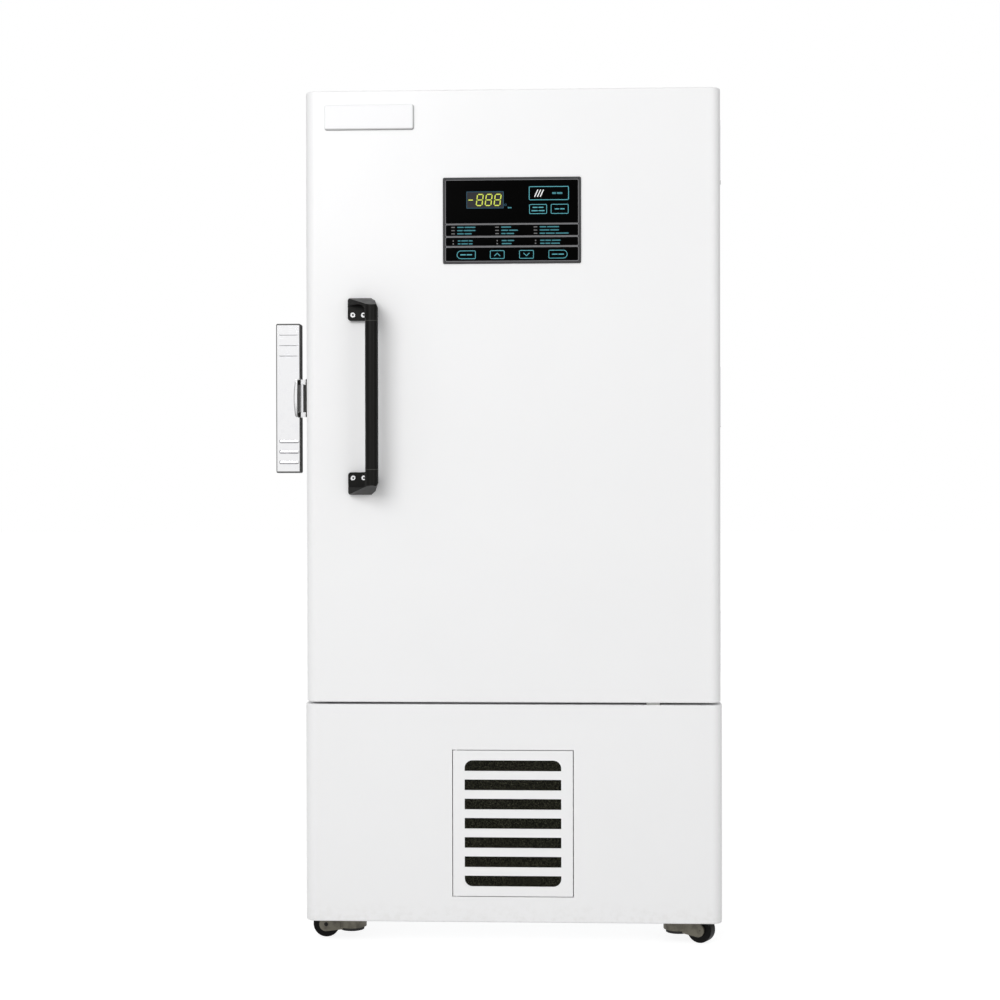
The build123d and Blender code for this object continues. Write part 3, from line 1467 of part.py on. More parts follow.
for place, (x, y, turn_deg) in caster_places.items():
    along = (cos(radians(turn_deg)), sin(radians(turn_deg)), 0)
    across = (sin(radians(turn_deg)), -cos(radians(turn_deg)), 0)
    fork_plane = Plane(origin=(x, y, 0), x_dir=along, z_dir=across)
    with BuildPart() as caster_housing:
        with BuildSketch(fork_plane):
            with Locations((0, (housing_bottom_z + fork_top_z) / 2)):
                Rectangle(2 * fork_half_length, fork_top_z - housing_bottom_z)
            with Locations((wheel_offset, wheel_radius)):
                Circle(lobe_radius)
            make_hull()
        extrude(amount=fork_width / 2, both=True)
        with BuildSketch(level(housing_bottom_z)):
            with Locations((x, y)):
                Circle(housing_radius)
        extrude(amount=plate_bottom_z - part_clearance - housing_bottom_z)
        with BuildSketch(fork_plane):
            with Locations((wheel_offset, wheel_radius)):
                Circle(wheel_radius + wheel_gap)
        extrude(amount=wheel_width / 2 + cheek_gap, both=True, mode=Mode.SUBTRACT)
        with BuildSketch(fork_plane):
            with Locations((wheel_offset, wheel_radius)):
                Circle(axle_radius)
        extrude(amount=fork_width / 2, both=True)
        with BuildSketch(level(housing_bottom_z)):
            with Locations((x, y)):
                Circle(pad_radius + pad_gap)
        extrude(amount=-housing_bottom_z, mode=Mode.SUBTRACT)
        with BuildSketch(level(housing_bottom_z)):
            with Locations((x, y)):
                Circle(stem_radius + running_clearance)
        extrude(amount=plate_bottom_z - housing_bottom_z, mode=Mode.SUBTRACT)
    keep(f"caster_housing_{place}", caster_housing.part)
    with BuildPart() as caster_wheel:
        with BuildSketch(fork_plane):
            with Locations((wheel_offset, wheel_radius)):
                Circle(wheel_radius)
                Circle(axle_radius + running_clearance, mode=Mode.SUBTRACT)
        extrude(amount=wheel_width / 2, both=True)
        rims = edges().filter_by(GeomType.CIRCLE).filter_by(lambda e: e.radius > axle_radius * 2)
        fillet(rims, wheel_shoulder)
    keep(f"caster_wheel_{place}", caster_wheel.part)
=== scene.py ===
"""Looks of the upright ultra low temperature freezer, in metres and in the CAD frame."""
import math

import bmesh
import bpy
import numpy as np
from mathutils import Matrix, Vector


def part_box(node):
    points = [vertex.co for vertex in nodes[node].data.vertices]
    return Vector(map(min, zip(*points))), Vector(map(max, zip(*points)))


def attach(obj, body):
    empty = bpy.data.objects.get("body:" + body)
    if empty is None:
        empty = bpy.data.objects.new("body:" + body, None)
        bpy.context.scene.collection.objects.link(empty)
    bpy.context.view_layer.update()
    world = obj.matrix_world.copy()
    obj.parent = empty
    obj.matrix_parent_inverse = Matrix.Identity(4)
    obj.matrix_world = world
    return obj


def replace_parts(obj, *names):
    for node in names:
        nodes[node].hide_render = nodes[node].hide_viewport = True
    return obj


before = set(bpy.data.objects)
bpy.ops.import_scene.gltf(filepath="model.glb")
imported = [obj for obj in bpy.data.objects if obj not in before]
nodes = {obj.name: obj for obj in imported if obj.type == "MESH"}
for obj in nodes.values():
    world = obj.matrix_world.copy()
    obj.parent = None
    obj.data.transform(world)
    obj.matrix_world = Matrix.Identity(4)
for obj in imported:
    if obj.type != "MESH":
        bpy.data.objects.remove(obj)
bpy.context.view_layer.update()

mm = 0.001

# Places read from the CAD nodes, in metres
panel_low, panel_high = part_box("panel_overlay")
panel_x = (panel_low.x + panel_high.x) / 2
panel_z = (panel_low.z + panel_high.z) / 2
display_low, display_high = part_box("display_window")
lever_low, lever_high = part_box("latch_lever")
latch_mid_z = (lever_low.z + lever_high.z) / 2
grip_half_width = 23 * mm
grip_half_height = (lever_high.z - lever_low.z) / 2
grip_mid_x = lever_low.x + grip_half_width
barrel_left_x = grip_mid_x + grip_half_width
barrel_right_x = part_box("latch_base")[1].x
boss_right_x = barrel_left_x - 3.9 * mm
boss_reach = 36 * mm
rib_step = 19.6 * mm
low_rib_z = lever_low.z + 20 * mm
screw_low, screw_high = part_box("handle_screws")
screw_head = 4.9 * mm
socket_radius = 1.9 * mm
tube_low, tube_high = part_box("handle_tube")
plate_low, plate_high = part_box("name_plate")
plate_bevel = 2.6 * mm
pad_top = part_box("caster_mounts")[0].z + 5.5 * mm


# Materials


class Wire:
    """An output socket of a finish. Arithmetic on wires adds Math nodes to its tree."""

    def __init__(self, finish, socket):
        self.finish, self.socket = finish, socket

    def out(self, name):
        """Another output of the same node."""
        return Wire(self.finish, self.socket.node.outputs[name])

    def reckon(self, operation, first, second):
        return self.finish.node("Math", {0: first, 1: second}, operation=operation)

    def __add__(self, other):
        return self.reckon("ADD", self, other)

    def __sub__(self, other):
        return self.reckon("SUBTRACT", self, other)

    def __rsub__(self, other):
        return self.reckon("SUBTRACT", other, self)

    def __mul__(self, other):
        return self.reckon("MULTIPLY", self, other)

    def __truediv__(self, other):
        return self.reckon("DIVIDE", self, other)

    def __gt__(self, other):
        return self.reckon("GREATER_THAN", self, other)

    def __lt__(self, other):
        return self.reckon("LESS_THAN", self, other)

    __radd__ = __add__
    __rmul__ = __mul__


class Finish:
    """Node tree of a material or of the world: node() makes any node, shader() ends a material."""

    def __init__(self, name, owner=None):
        self.owner = owner or bpy.data.materials.new(name)
        self.owner.use_nodes = True
        self.tree = self.owner.node_tree
        self.tree.nodes.clear()
        self.place = self.node("TexCoord").out("Object")

    def node(self, kind, values=None, **settings):
        """Node of a kind with its settings. Values gives each named socket a number or a wire."""
        made = self.tree.nodes.new("ShaderNode" + kind)
        for key, value in settings.items():
            setattr(made, key, value)
        for key, value in (values or {}).items():
            if isinstance(value, Wire):
                self.tree.links.new(value.socket, made.inputs[key])
            else:
                made.inputs[key].default_value = value
        return Wire(self, made.outputs[0]) if made.outputs else None

    def noise(self, size, detail=3.0, stretch=(1, 1, 1)):
        """Noise from 0 to 1 with lumps of about size metres, longer along an axis by its stretch."""
        scale = tuple(1 / (size * s) for s in stretch)
        place = self.node("Mapping", {"Vector": self.place, "Scale": scale})
        return self.node("TexNoise", {"Vector": place, "Scale": 1.0, "Detail": detail, "Roughness": 0.5})

    def cells(self, size):
        """Distance to the nearest of scattered points that lie about size metres apart."""
        return self.node("TexVoronoi", {"Vector": self.place, "Scale": 1 / size}, feature="F1")

    def ramp(self, value, *stops):
        """Grey level by value. Each stop is a value and its grey, in ascending order of value."""
        made = self.node("ValToRGB", {"Fac": value})
        elements = made.socket.node.color_ramp.elements
        elements[0].position, elements[1].position = stops[0][0], stops[1][0]
        for position, _ in stops[2:]:
            elements.new(position)
        for element, (_, grey) in zip(elements, stops):
            element.color = (grey, grey, grey, 1)
        return made

    def blend(self, share, first, second):
        """Colour that goes from first to second with share."""
        paint = [c if isinstance(c, Wire) else (*c, 1) for c in (first, second)]
        return self.node("Mix", {0: share, 6: paint[0], 7: paint[1]}, data_type="RGBA").out(2)

    def bump(self, height, depth):
        """Normal bent by a height of 0 to 1 that stands for depth metres."""
        return self.node("Bump", {"Height": height, "Distance": depth, "Strength": 1.0})

    def axis(self, letter, place=None):
        """One coordinate of the surface point in metres, or of another place."""
        return self.node("SeparateXYZ", {0: place or self.place}).out(letter)

    def size(self, value):
        """Value without its sign."""
        return self.node("Math", {0: value}, operation="ABSOLUTE")

    def shader(self, **values):
        """The finish's surface: base colour, metallic, roughness and the rest by their socket names."""
        renamed = {}
        for key, value in values.items():
            renamed[key.replace("_", " ").title().replace("Ior", "IOR")] = value
        surface = self.node("BsdfPrincipled", renamed)
        self.node("OutputMaterial", {"Surface": surface})
        return self.owner


def colour(red, green, blue):
    """Linear colour of a colour given as 0 to 255."""
    level = np.array([red, green, blue]) / 255
    return tuple(np.where(level > 0.04045, ((level + 0.055) / 1.055) ** 2.4, level / 12.92).tolist())


def white_enamel():
    """Stoved white enamel: faint orange peel, and a trace of dust towards the floor."""
    f = Finish("white_enamel")
    peel = f.noise(2.2 * mm, 2.0)
    cloud = f.noise(180 * mm, 2.0)
    smear = f.noise(60 * mm, 4.0, (1, 1, 3))
    near_floor = f.ramp(f.axis("Z"), (0.04, 1.0), (0.09, 0.0))
    dust = near_floor * f.ramp(f.noise(9 * mm, 6.0), (0.45, 0.0), (0.75, 1.0)) * 0.25
    tone = f.blend(cloud, (0.905, 0.905, 0.908), (0.925, 0.925, 0.928))
    return f.shader(
        base_color=f.blend(dust, tone, (0.62, 0.6, 0.56)),
        roughness=f.ramp(smear, (0.3, 0.3), (0.7, 0.36)) + dust * 0.3,
        normal=f.bump(peel, 0.012 * mm),
        specular_ior_level=0.35,
        coat_weight=0.06,
        coat_roughness=0.12,
    )


def galvanised_sheet():
    """Zinc sheet with its spangle: angular flakes of slightly different tone."""
    f = Finish("galvanised_sheet")
    flake = f.cells(11 * mm).out("Color")
    tint = f.node("SeparateColor", {0: flake}).out("Red")
    fine = f.noise(1.2 * mm, 4.0)
    stain = f.ramp(f.noise(70 * mm, 5.0), (0.45, 0.0), (0.75, 1.0))
    tone = f.blend(tint, (0.5, 0.515, 0.53), (0.66, 0.675, 0.685))
    return f.shader(
        base_color=f.blend(stain * 0.3, tone, (0.42, 0.42, 0.42)),
        metallic=0.85,
        roughness=0.36 + tint * 0.14 + fine * 0.06,
        normal=f.bump(tint * 0.6 + fine * 0.4, 0.02 * mm),
    )


def brushed_steel(name, along, tone, rough):
    """Metal brushed along one axis: long fine scratches and a few smudges."""
    f = Finish(name)
    grain = f.noise(0.35 * mm, 3.0, tuple(60 if k == along else 1 for k in range(3)))
    smudge = f.ramp(f.noise(35 * mm, 5.0), (0.4, 0.0), (0.7, 1.0))
    return f.shader(
        base_color=f.blend(grain, tuple(0.93 * c for c in tone), tone),
        metallic=1.0,
        roughness=rough + grain * 0.1 + smudge * 0.07,
        normal=f.bump(grain, 0.006 * mm),
    )


def polished_steel(name, shade=None):
    """Polished latch steel: hairlines and finger marks. shade(f) is 1 where painted shade makes it dark, and
    there it is dull too.
    """
    f = Finish(name)
    hair = f.noise(0.5 * mm, 2.0, (1, 1, 40))
    mark = f.ramp(f.noise(16 * mm, 5.0), (0.5, 0.0), (0.72, 1.0))
    tone = f.blend(mark, (0.87, 0.87, 0.88), (0.82, 0.82, 0.838))
    # Painted shade and painted dark reflections: the colour goes near black where shade(f) is 1
    dark = f.ramp(shade(f), (0.0, 0.0), (1.0, 1.0)) if shade else 0.0
    return f.shader(
        base_color=f.blend(dark, tone, (0.03, 0.03, 0.026)),
        metallic=1 - dark,
        roughness=0.07 + hair * 0.04 + mark * 0.05 + 0.4 * dark,
        specular_ior_level=0.1,
        normal=f.bump(hair, 0.003 * mm),
    )


def barrel_painted_light(f):
    """Painted light across the latch's barrel: a painted highlight beside the lever, then painted shade,
    darker towards the door.
    """
    share = (f.axis("X") - barrel_left_x) * (1 / (barrel_right_x - barrel_left_x))
    return f.ramp(share, (0.0, 0.12), (0.3, 0.04), (0.48, 0.15), (0.6, 0.6), (0.68, 1.0))


def lever_painted_light(f):
    """Painted shade along the folded rim of the lever's face, beside the boss and on the right flange. At the
    boss's height the flange is painted bright, as the barrel is, and runs on into the barrel."""
    rim_at_side, rim_at_end, rim_at_boss = 2.0 * mm, 3.0 * mm, 4.4 * mm
    sideways = f.axis("X") - grip_mid_x
    along = f.size(f.axis("Z") - latch_mid_z)
    near = along < boss_reach + 0.3 * mm
    rim = (f.size(sideways) > grip_half_width - rim_at_side) + (along > grip_half_height - rim_at_end)
    rim = rim + near * (sideways > grip_half_width - rim_at_boss)
    beyond = sideways > grip_half_width - 0.25 * mm
    flank = 1 - near * (1 - barrel_painted_light(f))
    return f.ramp(rim, (0.0, 0.0), (1.0, 0.88)) * (1 - beyond) + flank * beyond


def base_painted_light(f):
    """The barrel's painted light, and painted shade on the ears where the lever covers them."""
    return barrel_painted_light(f) + (f.axis("X") < barrel_left_x)


def rib_painted_shade(f):
    """Painted shade: darker from the middle line of each lower rib down to its underside."""
    row = f.node("Math", {0: (f.axis("Z") - low_rib_z) * (1 / rib_step) + 0.5}, operation="FRACT")
    return f.ramp(row, (0.38, 0.6), (0.46, 0.2), (0.6, 0.13))


def boss_painted_shade(f):
    """Painted shade along both sides of the crescent boss and towards its lower end. The share across it is
    the distance from its right edge over its width, which falls off with the square of the height."""
    middle_width, width_lost = 8.8 * mm, 3.0 * mm
    rise = (f.axis("Z") - latch_mid_z) * (1 / boss_reach)
    share = (boss_right_x - f.axis("X")) / (middle_width - rise * rise * width_lost)
    sides = f.ramp(share, (0.0, 1.0), (0.16, 0.9), (0.3, 0.0), (0.75, 0.0), (0.9, 0.4), (1.0, 0.8))
    return sides + f.ramp(rise * 0.5 + 0.5, (0.05, 0.55), (0.4, 0.0)) * (1 - sides)


def socket_painted_shade(f):
    """Painted shade in the socket round the axis of each of the four screws."""
    middle, reach = (screw_low + screw_high) / 2, (screw_high - screw_low) / 2
    beside = f.size(f.axis("X") - middle.x) - (reach.x - screw_head)
    above = f.size(f.axis("Z") - middle.z) - (reach.z - screw_head)
    return beside * beside + above * above < socket_radius ** 2


def rigid_foam():
    """Cut polyurethane foam: cells of about a millimetre, darker where it aged."""
    f = Finish("rigid_foam")
    cell = f.cells(0.9 * mm)
    aged = f.noise(50 * mm, 4.0)
    return f.shader(
        base_color=f.blend(aged, (0.8, 0.72, 0.46), (0.68, 0.56, 0.3)),
        roughness=0.85 + cell * 0.1,
        normal=f.bump(cell, 0.25 * mm),
    )


def plastic(name, tone, rough, grain_size=0.5 * mm, grain_depth=0.02 * mm, ior_level=0.5):
    """Moulded plastic, rubber or dull paint: a fine grain and faint scuffs."""
    f = Finish(name)
    grain = f.noise(grain_size, 3.0)
    scuff = f.ramp(f.noise(24 * mm, 6.0, (1, 1, 2)), (0.55, 0.0), (0.8, 1.0))
    light = tuple(min(1.0, c * 1.05 + 0.003) for c in tone)
    return f.shader(
        base_color=f.blend(scuff, tone, light),
        roughness=rough + grain * 0.08 + scuff * 0.06,
        normal=f.bump(grain, grain_depth),
        specular_ior_level=ior_level,
    )


def name_plate_white():
    """White name plate: fine grain, and painted shade that makes its bevel greyer below and to the right."""
    f = Finish("name_plate_white")
    grain = f.noise(0.3 * mm, 3.0)
    # Painted shade on the lower and right bevel
    below = f.ramp(f.axis("Z") - plate_low.z, (0.0, 1.0), (plate_bevel, 0.0))
    at_right = f.ramp(plate_high.x - f.axis("X"), (0.0, 0.8), (plate_bevel, 0.0))
    return f.shader(
        base_color=f.blend(below + at_right, (0.88, 0.88, 0.89), (0.3, 0.3, 0.3)),
        roughness=0.3 + grain * 0.08,
        normal=f.bump(grain, 0.004 * mm),
    )


def black_powder_coat():
    """Black powder coat of the handle: fine pebbled surface, rubbed smoother in patches, and a painted
    highlight, a lighter line where the tube meets each shank."""
    f = Finish("black_powder_coat")
    pebble = f.noise(0.8 * mm, 3.0)
    rubbed = f.ramp(f.noise(20 * mm, 5.0), (0.45, 0.0), (0.7, 1.0))
    away = f.size(f.axis("Z") - (tube_low.z + tube_high.z) / 2)
    joint_highlight = f.size(away - (tube_high.z - tube_low.z) / 2) < 0.45 * mm
    coat = f.blend(pebble, (0.0022, 0.002, 0.0014), (0.0045, 0.0043, 0.0033))
    return f.shader(
        base_color=f.blend(joint_highlight, coat, (0.06, 0.06, 0.055)),
        roughness=0.34 - rubbed * 0.08 + pebble * 0.06,
        normal=f.bump(pebble, 0.02 * mm),
        specular_ior_level=0.13,
    )


def filter_foam():
    """Open black foam: painted shade darkens the pores between thin struts, and painted glints light some
    struts.
    """
    f = Finish("filter_foam")
    pore = f.cells(2.0 * mm)
    strut = f.ramp(pore, (0.35, 0.0), (0.62, 1.0))
    painted_glint = f.ramp(f.noise(1.1 * mm, 2.0), (0.58, 0.0), (0.7, 1.0))
    tone = f.blend(strut, (0.002, 0.002, 0.0015), (0.02, 0.02, 0.013))
    return f.shader(
        base_color=f.blend(painted_glint * strut, tone, (0.085, 0.085, 0.06)),
        roughness=0.8,
        normal=f.bump(strut, 0.6 * mm),
        specular_ior_level=0.05,
    )


def gloss_film(name, tone, rough=0.16):
    """Printed polyester film: nearly flat, with a faint wave, dust specks and wiped streaks."""
    f = Finish(name)
    wave = f.noise(30 * mm, 2.0)
    wiped = f.noise(8 * mm, 4.0, (6, 1, 1))
    speck = f.ramp(f.noise(0.9 * mm, 1.0), (0.74, 0.0), (0.8, 1.0))
    light = tuple(c + 0.006 for c in tone)
    return f.shader(
        base_color=f.blend(speck, tone, light),
        roughness=rough + wiped * 0.1,
        normal=f.bump(wave, 0.05 * mm),
        specular_ior_level=0.012,
    )


def ink(name, tone, glow=0.0):
    """Screen printed ink: slightly uneven cover. Glow gives it light of its own: the real light of the
    display's digits, and painted glow on printed marks that have no lamp behind them.
    """
    f = Finish(name)
    cover = f.noise(0.7 * mm, 3.0)
    shade = f.blend(cover, tuple(0.88 * c for c in tone), tone)
    values = {"base_color": shade, "roughness": 0.35 + cover * 0.1, "specular_ior_level": 0.1}
    if glow:
        values |= {"emission_color": shade, "emission_strength": glow}
    return f.shader(**values)


def circuit_board():
    """Green board with pale tracks: bands of a stretched noise."""
    f = Finish("circuit_board")
    track = f.ramp(f.noise(3 * mm, 0.0, (8, 1, 1)), (0.5, 0.0), (0.53, 1.0))
    cross = f.ramp(f.noise(3 * mm, 0.0, (1, 1, 8)), (0.5, 0.0), (0.53, 1.0))
    return f.shader(
        base_color=f.blend(track * cross, (0.01, 0.08, 0.03), (0.05, 0.2, 0.08)),
        roughness=0.3 + track * 0.1,
        normal=f.bump(track, 0.03 * mm),
    )


def cast_metal(name, tone, metallic, rough):
    """Cast or plated metal: pitted, with dirt in the pits."""
    f = Finish(name)
    pit = f.noise(1.6 * mm, 5.0)
    dirt = f.ramp(f.noise(12 * mm, 5.0), (0.42, 0.0), (0.68, 1.0))
    return f.shader(
        base_color=f.blend(dirt, tone, tuple(0.6 * c for c in tone)),
        metallic=metallic,
        roughness=rough + pit * 0.12 + dirt * 0.12,
        normal=f.bump(pit, 0.08 * mm),
    )


def levelling_foot():
    """Zinc plated stem and plate; the pad at its lower end is black rubber."""
    f = Finish("levelling_foot")
    pit = f.noise(1.6 * mm, 5.0)
    dirt = f.ramp(f.noise(12 * mm, 5.0), (0.42, 0.0), (0.68, 1.0))
    pad = f.axis("Z") < pad_top
    plated = f.blend(dirt, (0.6, 0.61, 0.62), (0.36, 0.365, 0.37))
    return f.shader(
        base_color=f.blend(pad, plated, (0.0035, 0.0033, 0.003)),
        metallic=0.9 - pad * 0.9,
        roughness=0.34 + pit * 0.12 + pad * 0.3,
        normal=f.bump(pit, 0.06 * mm),
    )


def dress(finish, *names):
    """Give a finish to CAD nodes."""
    for name in names:
        for place in nodes[name].material_slots:
            place.material = finish


enamel = white_enamel()
zinc_sheet = galvanised_sheet()
steel_up = brushed_steel("stainless_upright", 2, (0.74, 0.75, 0.76), 0.26)
steel_across = brushed_steel("stainless_across", 0, (0.72, 0.73, 0.74), 0.28)
latch_steel = polished_steel("polished_latch_steel")
lever_steel = polished_steel("latch_lever_steel", lever_painted_light)
base_steel = polished_steel("latch_base_steel", base_painted_light)
boss_steel = polished_steel("latch_boss_steel", boss_painted_shade)
rib_steel = polished_steel("latch_rib_steel", rib_painted_shade)
# Dark steel for the painted shadow lines below the lever's ribs
rib_shadow_steel = cast_metal("rib_shadow_steel", (0.3, 0.3, 0.32), 0.9, 0.4)
screw_steel = polished_steel("screw_steel", socket_painted_shade)
hinge_screw_steel = cast_metal("hinge_screw_steel", (0.5, 0.5, 0.51), 0.95, 0.25)
fin_aluminium = brushed_steel("fin_aluminium", 2, (0.78, 0.79, 0.8), 0.34)
copper = brushed_steel("copper_pipe", 2, (0.72, 0.36, 0.2), 0.3)
rear_screw_zinc = cast_metal("rear_screw_zinc", (0.16, 0.16, 0.17), 0.9, 0.35)
zinc_plate = cast_metal("zinc_plate", (0.6, 0.61, 0.62), 0.9, 0.32)
foam = rigid_foam()
mastic = plastic("jacket_mastic", (0.09, 0.09, 0.095), 0.75, 2.0 * mm, 0.2 * mm)
white_plastic = plastic("white_moulding", (0.78, 0.78, 0.76), 0.4)
grey_plastic = plastic("grey_moulding", (0.36, 0.36, 0.35), 0.45)
grey_rubber = plastic("grey_gasket_rubber", (0.3, 0.31, 0.32), 0.6, 0.4 * mm, 0.015 * mm, 0.3)
black_rubber = plastic("black_rubber", (0.008, 0.008, 0.008), 0.65, ior_level=0.2)
black_coat = black_powder_coat()
black_paint = plastic("black_machine_paint", (0.01, 0.01, 0.011), 0.3, 1.5 * mm, 0.03 * mm)
plate_white = name_plate_white()
film_black = gloss_film("panel_film", (0.0008, 0.0008, 0.0008))
bezel_black = plastic("bezel_moulding", colour(70, 70, 71), 0.4, ior_level=0.12)
key_film = gloss_film("key_film", (0.0009, 0.001, 0.001), 0.2)
display_film = gloss_film("display_film", colour(56, 56, 58), 0.12)
axle_steel = cast_metal("axle_steel", (0.012, 0.011, 0.008), 0.5, 0.4)
board_green = circuit_board()
open_foam = filter_foam()
caster_cast = cast_metal("caster_casting", (0.18, 0.166, 0.13), 0.35, 0.42)
caster_foot = levelling_foot()
wheel_black = plastic("wheel_nylon", (0.003, 0.003, 0.0028), 0.4, 0.7 * mm, 0.03 * mm, 0.1)
ink_grey = ink("ink_grey", colour(120, 120, 122))
# Painted glow: the teal, fine teal, display frame and white inks give a little light of their own, though no
# lamp is behind them
ink_teal = ink("ink_teal", colour(92, 168, 178), 0.12)
ink_text = ink("ink_teal_fine", colour(70, 132, 141), 0.1)
ink_rim = ink("ink_display_frame", colour(44, 78, 96), 0.05)
ink_lamp = ink("ink_lamp_grey", colour(122, 122, 122))
ink_white = ink("ink_white", colour(238, 238, 238), 0.1)
digit_light = ink("digit_light", colour(192, 203, 82), 0.45)

dress(enamel, "cabinet_shell", "base_shell", "door_shell", "filter_door")
dress(zinc_sheet, "back_panel", "chassis_plate", "rear_cover", "fan_shroud", "electrical_box")
dress(foam, "insulation", "door_insulation")
dress(mastic, "evaporator_jacket")
dress(steel_up, "inner_liner", "cascade_exchanger")
dress(steel_across, "shelves")
dress(white_plastic, "breaker_frame", "door_liner", "inner_door_lower", "inner_door_upper")
dress(grey_plastic, "access_port", "bumpers")
dress(grey_rubber, "door_gasket")
dress(zinc_plate, "inner_door_brackets")
dress(caster_foot, "caster_mounts")
dress(fin_aluminium, "condenser")
dress(black_paint, "fan_motor", "compressors")
dress(black_rubber, "compressor_grommets", "power_inlet")
dress(copper, "refrigerant_pipes")
dress(latch_steel, "hinge_leaves_cabinet", "hinge_leaves_door", "latch_strike")
dress(lever_steel, "latch_lever")
dress(base_steel, "latch_base")
dress(black_coat, "handle_tube", "handle_shanks", "fan_blades")
dress(screw_steel, "handle_screws")
dress(plate_white, "name_plate")
dress(film_black, "panel_overlay")
dress(bezel_black, "panel_bezel", "switch_rocker")
dress(display_film, "display_window")
dress(board_green, "control_board")
dress(open_foam, "foam_filter")
dress(key_film, *(name for name in nodes if name.startswith("key_")))
dress(caster_cast, *(name for name in nodes if name.startswith("caster_housing")))
dress(wheel_black, *(name for name in nodes if name.startswith("caster_wheel")))


# Surfaces

merge_distance = 0.002 * mm
sharp_angle = math.radians(28)


def smooth_skin():
    """Node group that merges a CAD mesh's corners and shades it smooth up to the sharp angle."""
    group = bpy.data.node_groups.new("smooth_skin", "GeometryNodeTree")
    group.interface.new_socket("Geometry", in_out="INPUT", socket_type="NodeSocketGeometry")
    group.interface.new_socket("Geometry", in_out="OUTPUT", socket_type="NodeSocketGeometry")
    kinds = {
        "in": "NodeGroupInput",
        "merge": "GeometryNodeMergeByDistance",
        "face": "GeometryNodeSetShadeSmooth",
        "edge": "GeometryNodeSetShadeSmooth",
        "angle": "GeometryNodeInputMeshEdgeAngle",
        "sharp": "FunctionNodeCompare",
        "out": "NodeGroupOutput",
    }
    made = {key: group.nodes.new(kind) for key, kind in kinds.items()}
    made["merge"].inputs["Distance"].default_value = merge_distance
    made["edge"].domain = "EDGE"
    made["edge"].inputs["Shade Smooth"].default_value = False
    made["sharp"].operation = "GREATER_THAN"
    made["sharp"].inputs[1].default_value = sharp_angle
    chain = ("in", "merge", "face", "edge", "out")
    for start, end in zip(chain, chain[1:]):
        group.links.new(made[start].outputs[0], made[end].inputs[0])
    group.links.new(made["angle"].outputs[0], made["sharp"].inputs[0])
    group.links.new(made["sharp"].outputs[0], made["edge"].inputs["Selection"])
    return group


skin = smooth_skin()
for cad in nodes.values():
    cad.modifiers.new("smooth", "NODES").node_group = skin
    weighted = cad.modifiers.new("even", "WEIGHTED_NORMAL")
    weighted.keep_sharp = True
    weighted.weight = 100


def grid_faces(rows, columns, around_rows, around_columns, first):
    """Quads of a grid of points, row by row, closed round either way where asked."""
    index = first + np.arange(rows * columns).reshape(rows, columns)
    if around_rows:
        index = np.concatenate([index, index[:1]])
    if around_columns:
        index = np.concatenate([index, index[:, :1]], axis=1)
    corners = [index[:-1, :-1], index[:-1, 1:], index[1:, 1:], index[1:, :-1]]
    return np.stack([c.ravel() for c in corners], axis=1)


def capped(points):
    """Grid of points with one more row at each end, gathered in the middle of the section there."""
    first, last = (np.broadcast_to(points[k].mean(axis=0), points[:1].shape) for k in (0, -1))
    return np.concatenate([first, points, last])


def piece(name, body, finish, grids, smooth=True):
    """Mesh of one or more grids of points, joined where they meet, its faces turned outwards. A grid
    is (points, around_rows, around_columns)."""
    points, faces, first = [], [], 0
    for grid, around_rows, around_columns in grids:
        rows, columns = grid.shape[:2]
        points.append(grid.reshape(-1, 3))
        faces.append(grid_faces(rows, columns, around_rows, around_columns, first))
        first += rows * columns
    mesh = bpy.data.meshes.new(name)
    mesh.from_pydata(np.concatenate(points).tolist(), [], np.concatenate(faces).tolist())
    shape = bmesh.new()
    shape.from_mesh(mesh)
    bmesh.ops.remove_doubles(shape, verts=shape.verts, dist=0.001 * mm)
    bmesh.ops.recalc_face_normals(shape, faces=shape.faces)
    shape.to_mesh(mesh)
    shape.free()
    mesh.validate()
    mesh.polygons.foreach_set("use_smooth", np.full(len(mesh.polygons), smooth))
    mesh.materials.append(finish)
    made = bpy.data.objects.new(name, mesh)
    bpy.context.collection.objects.link(made)
    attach(made, body)
    return made


def rounded_outline(width, height, radii, steps=7):
    """Closed outline round the origin: four arcs of given radii, anticlockwise from the upper right."""
    turn = np.linspace(0, np.pi / 2, steps)
    arcs = []
    for k, radius in enumerate(radii):
        side = np.array([(1, 1), (-1, 1), (-1, -1), (1, -1)][k])
        centre = side * (np.array([width, height]) / 2 - radius)
        angle = turn + k * np.pi / 2
        arcs.append(centre + radius * np.stack([np.cos(angle), np.sin(angle)], axis=1))
    return np.concatenate(arcs)


def left_of(run):
    """Unit directions to the left of the given steps along a path."""
    return np.stack([-run[:, 1], run[:, 0]], axis=1) / np.linalg.norm(run, axis=1)[:, None]


def round_steps(path):
    """Steps along a closed path, at each point from the one before to the one after."""
    return np.roll(path, -1, axis=0) - np.roll(path, 1, axis=0)


def bead(path, width, front, proud, closed=True):
    """Flat raised bead along a path in the upright plane: at each point the section is a rectangle,
    width wide across the path and proud high towards the front. Width may change along the path, and
    an open path is capped at its ends."""
    path = np.asarray(path, float)
    across = left_of(round_steps(path) if closed else np.gradient(path, axis=0))
    half = np.broadcast_to(np.asarray(width, float), len(path))[:, None] / 2
    left, right = path + across * half, path - across * half
    corners = []
    for side, y in ((left, front), (left, front - proud), (right, front - proud), (right, front)):
        corners.append(np.stack([side[:, 0], np.full(len(path), y), side[:, 1]], axis=1))
    points = np.stack(corners, axis=1)
    return points if closed else capped(points), closed, True


def bar(x, z, length, thick, front, proud):
    """Short level bead with rounded ends: its width follows a half circle at each end."""
    share = np.array([-1.0, -0.985, -0.94, 0.0, 0.94, 0.985, 1.0])
    width = thick * np.array([0.25, 0.66, 1.0, 1.0, 1.0, 0.66, 0.25])
    path = np.stack([x + share * length / 2, np.full_like(share, z)], axis=1)
    return bead(path, width, front, proud, closed=False)


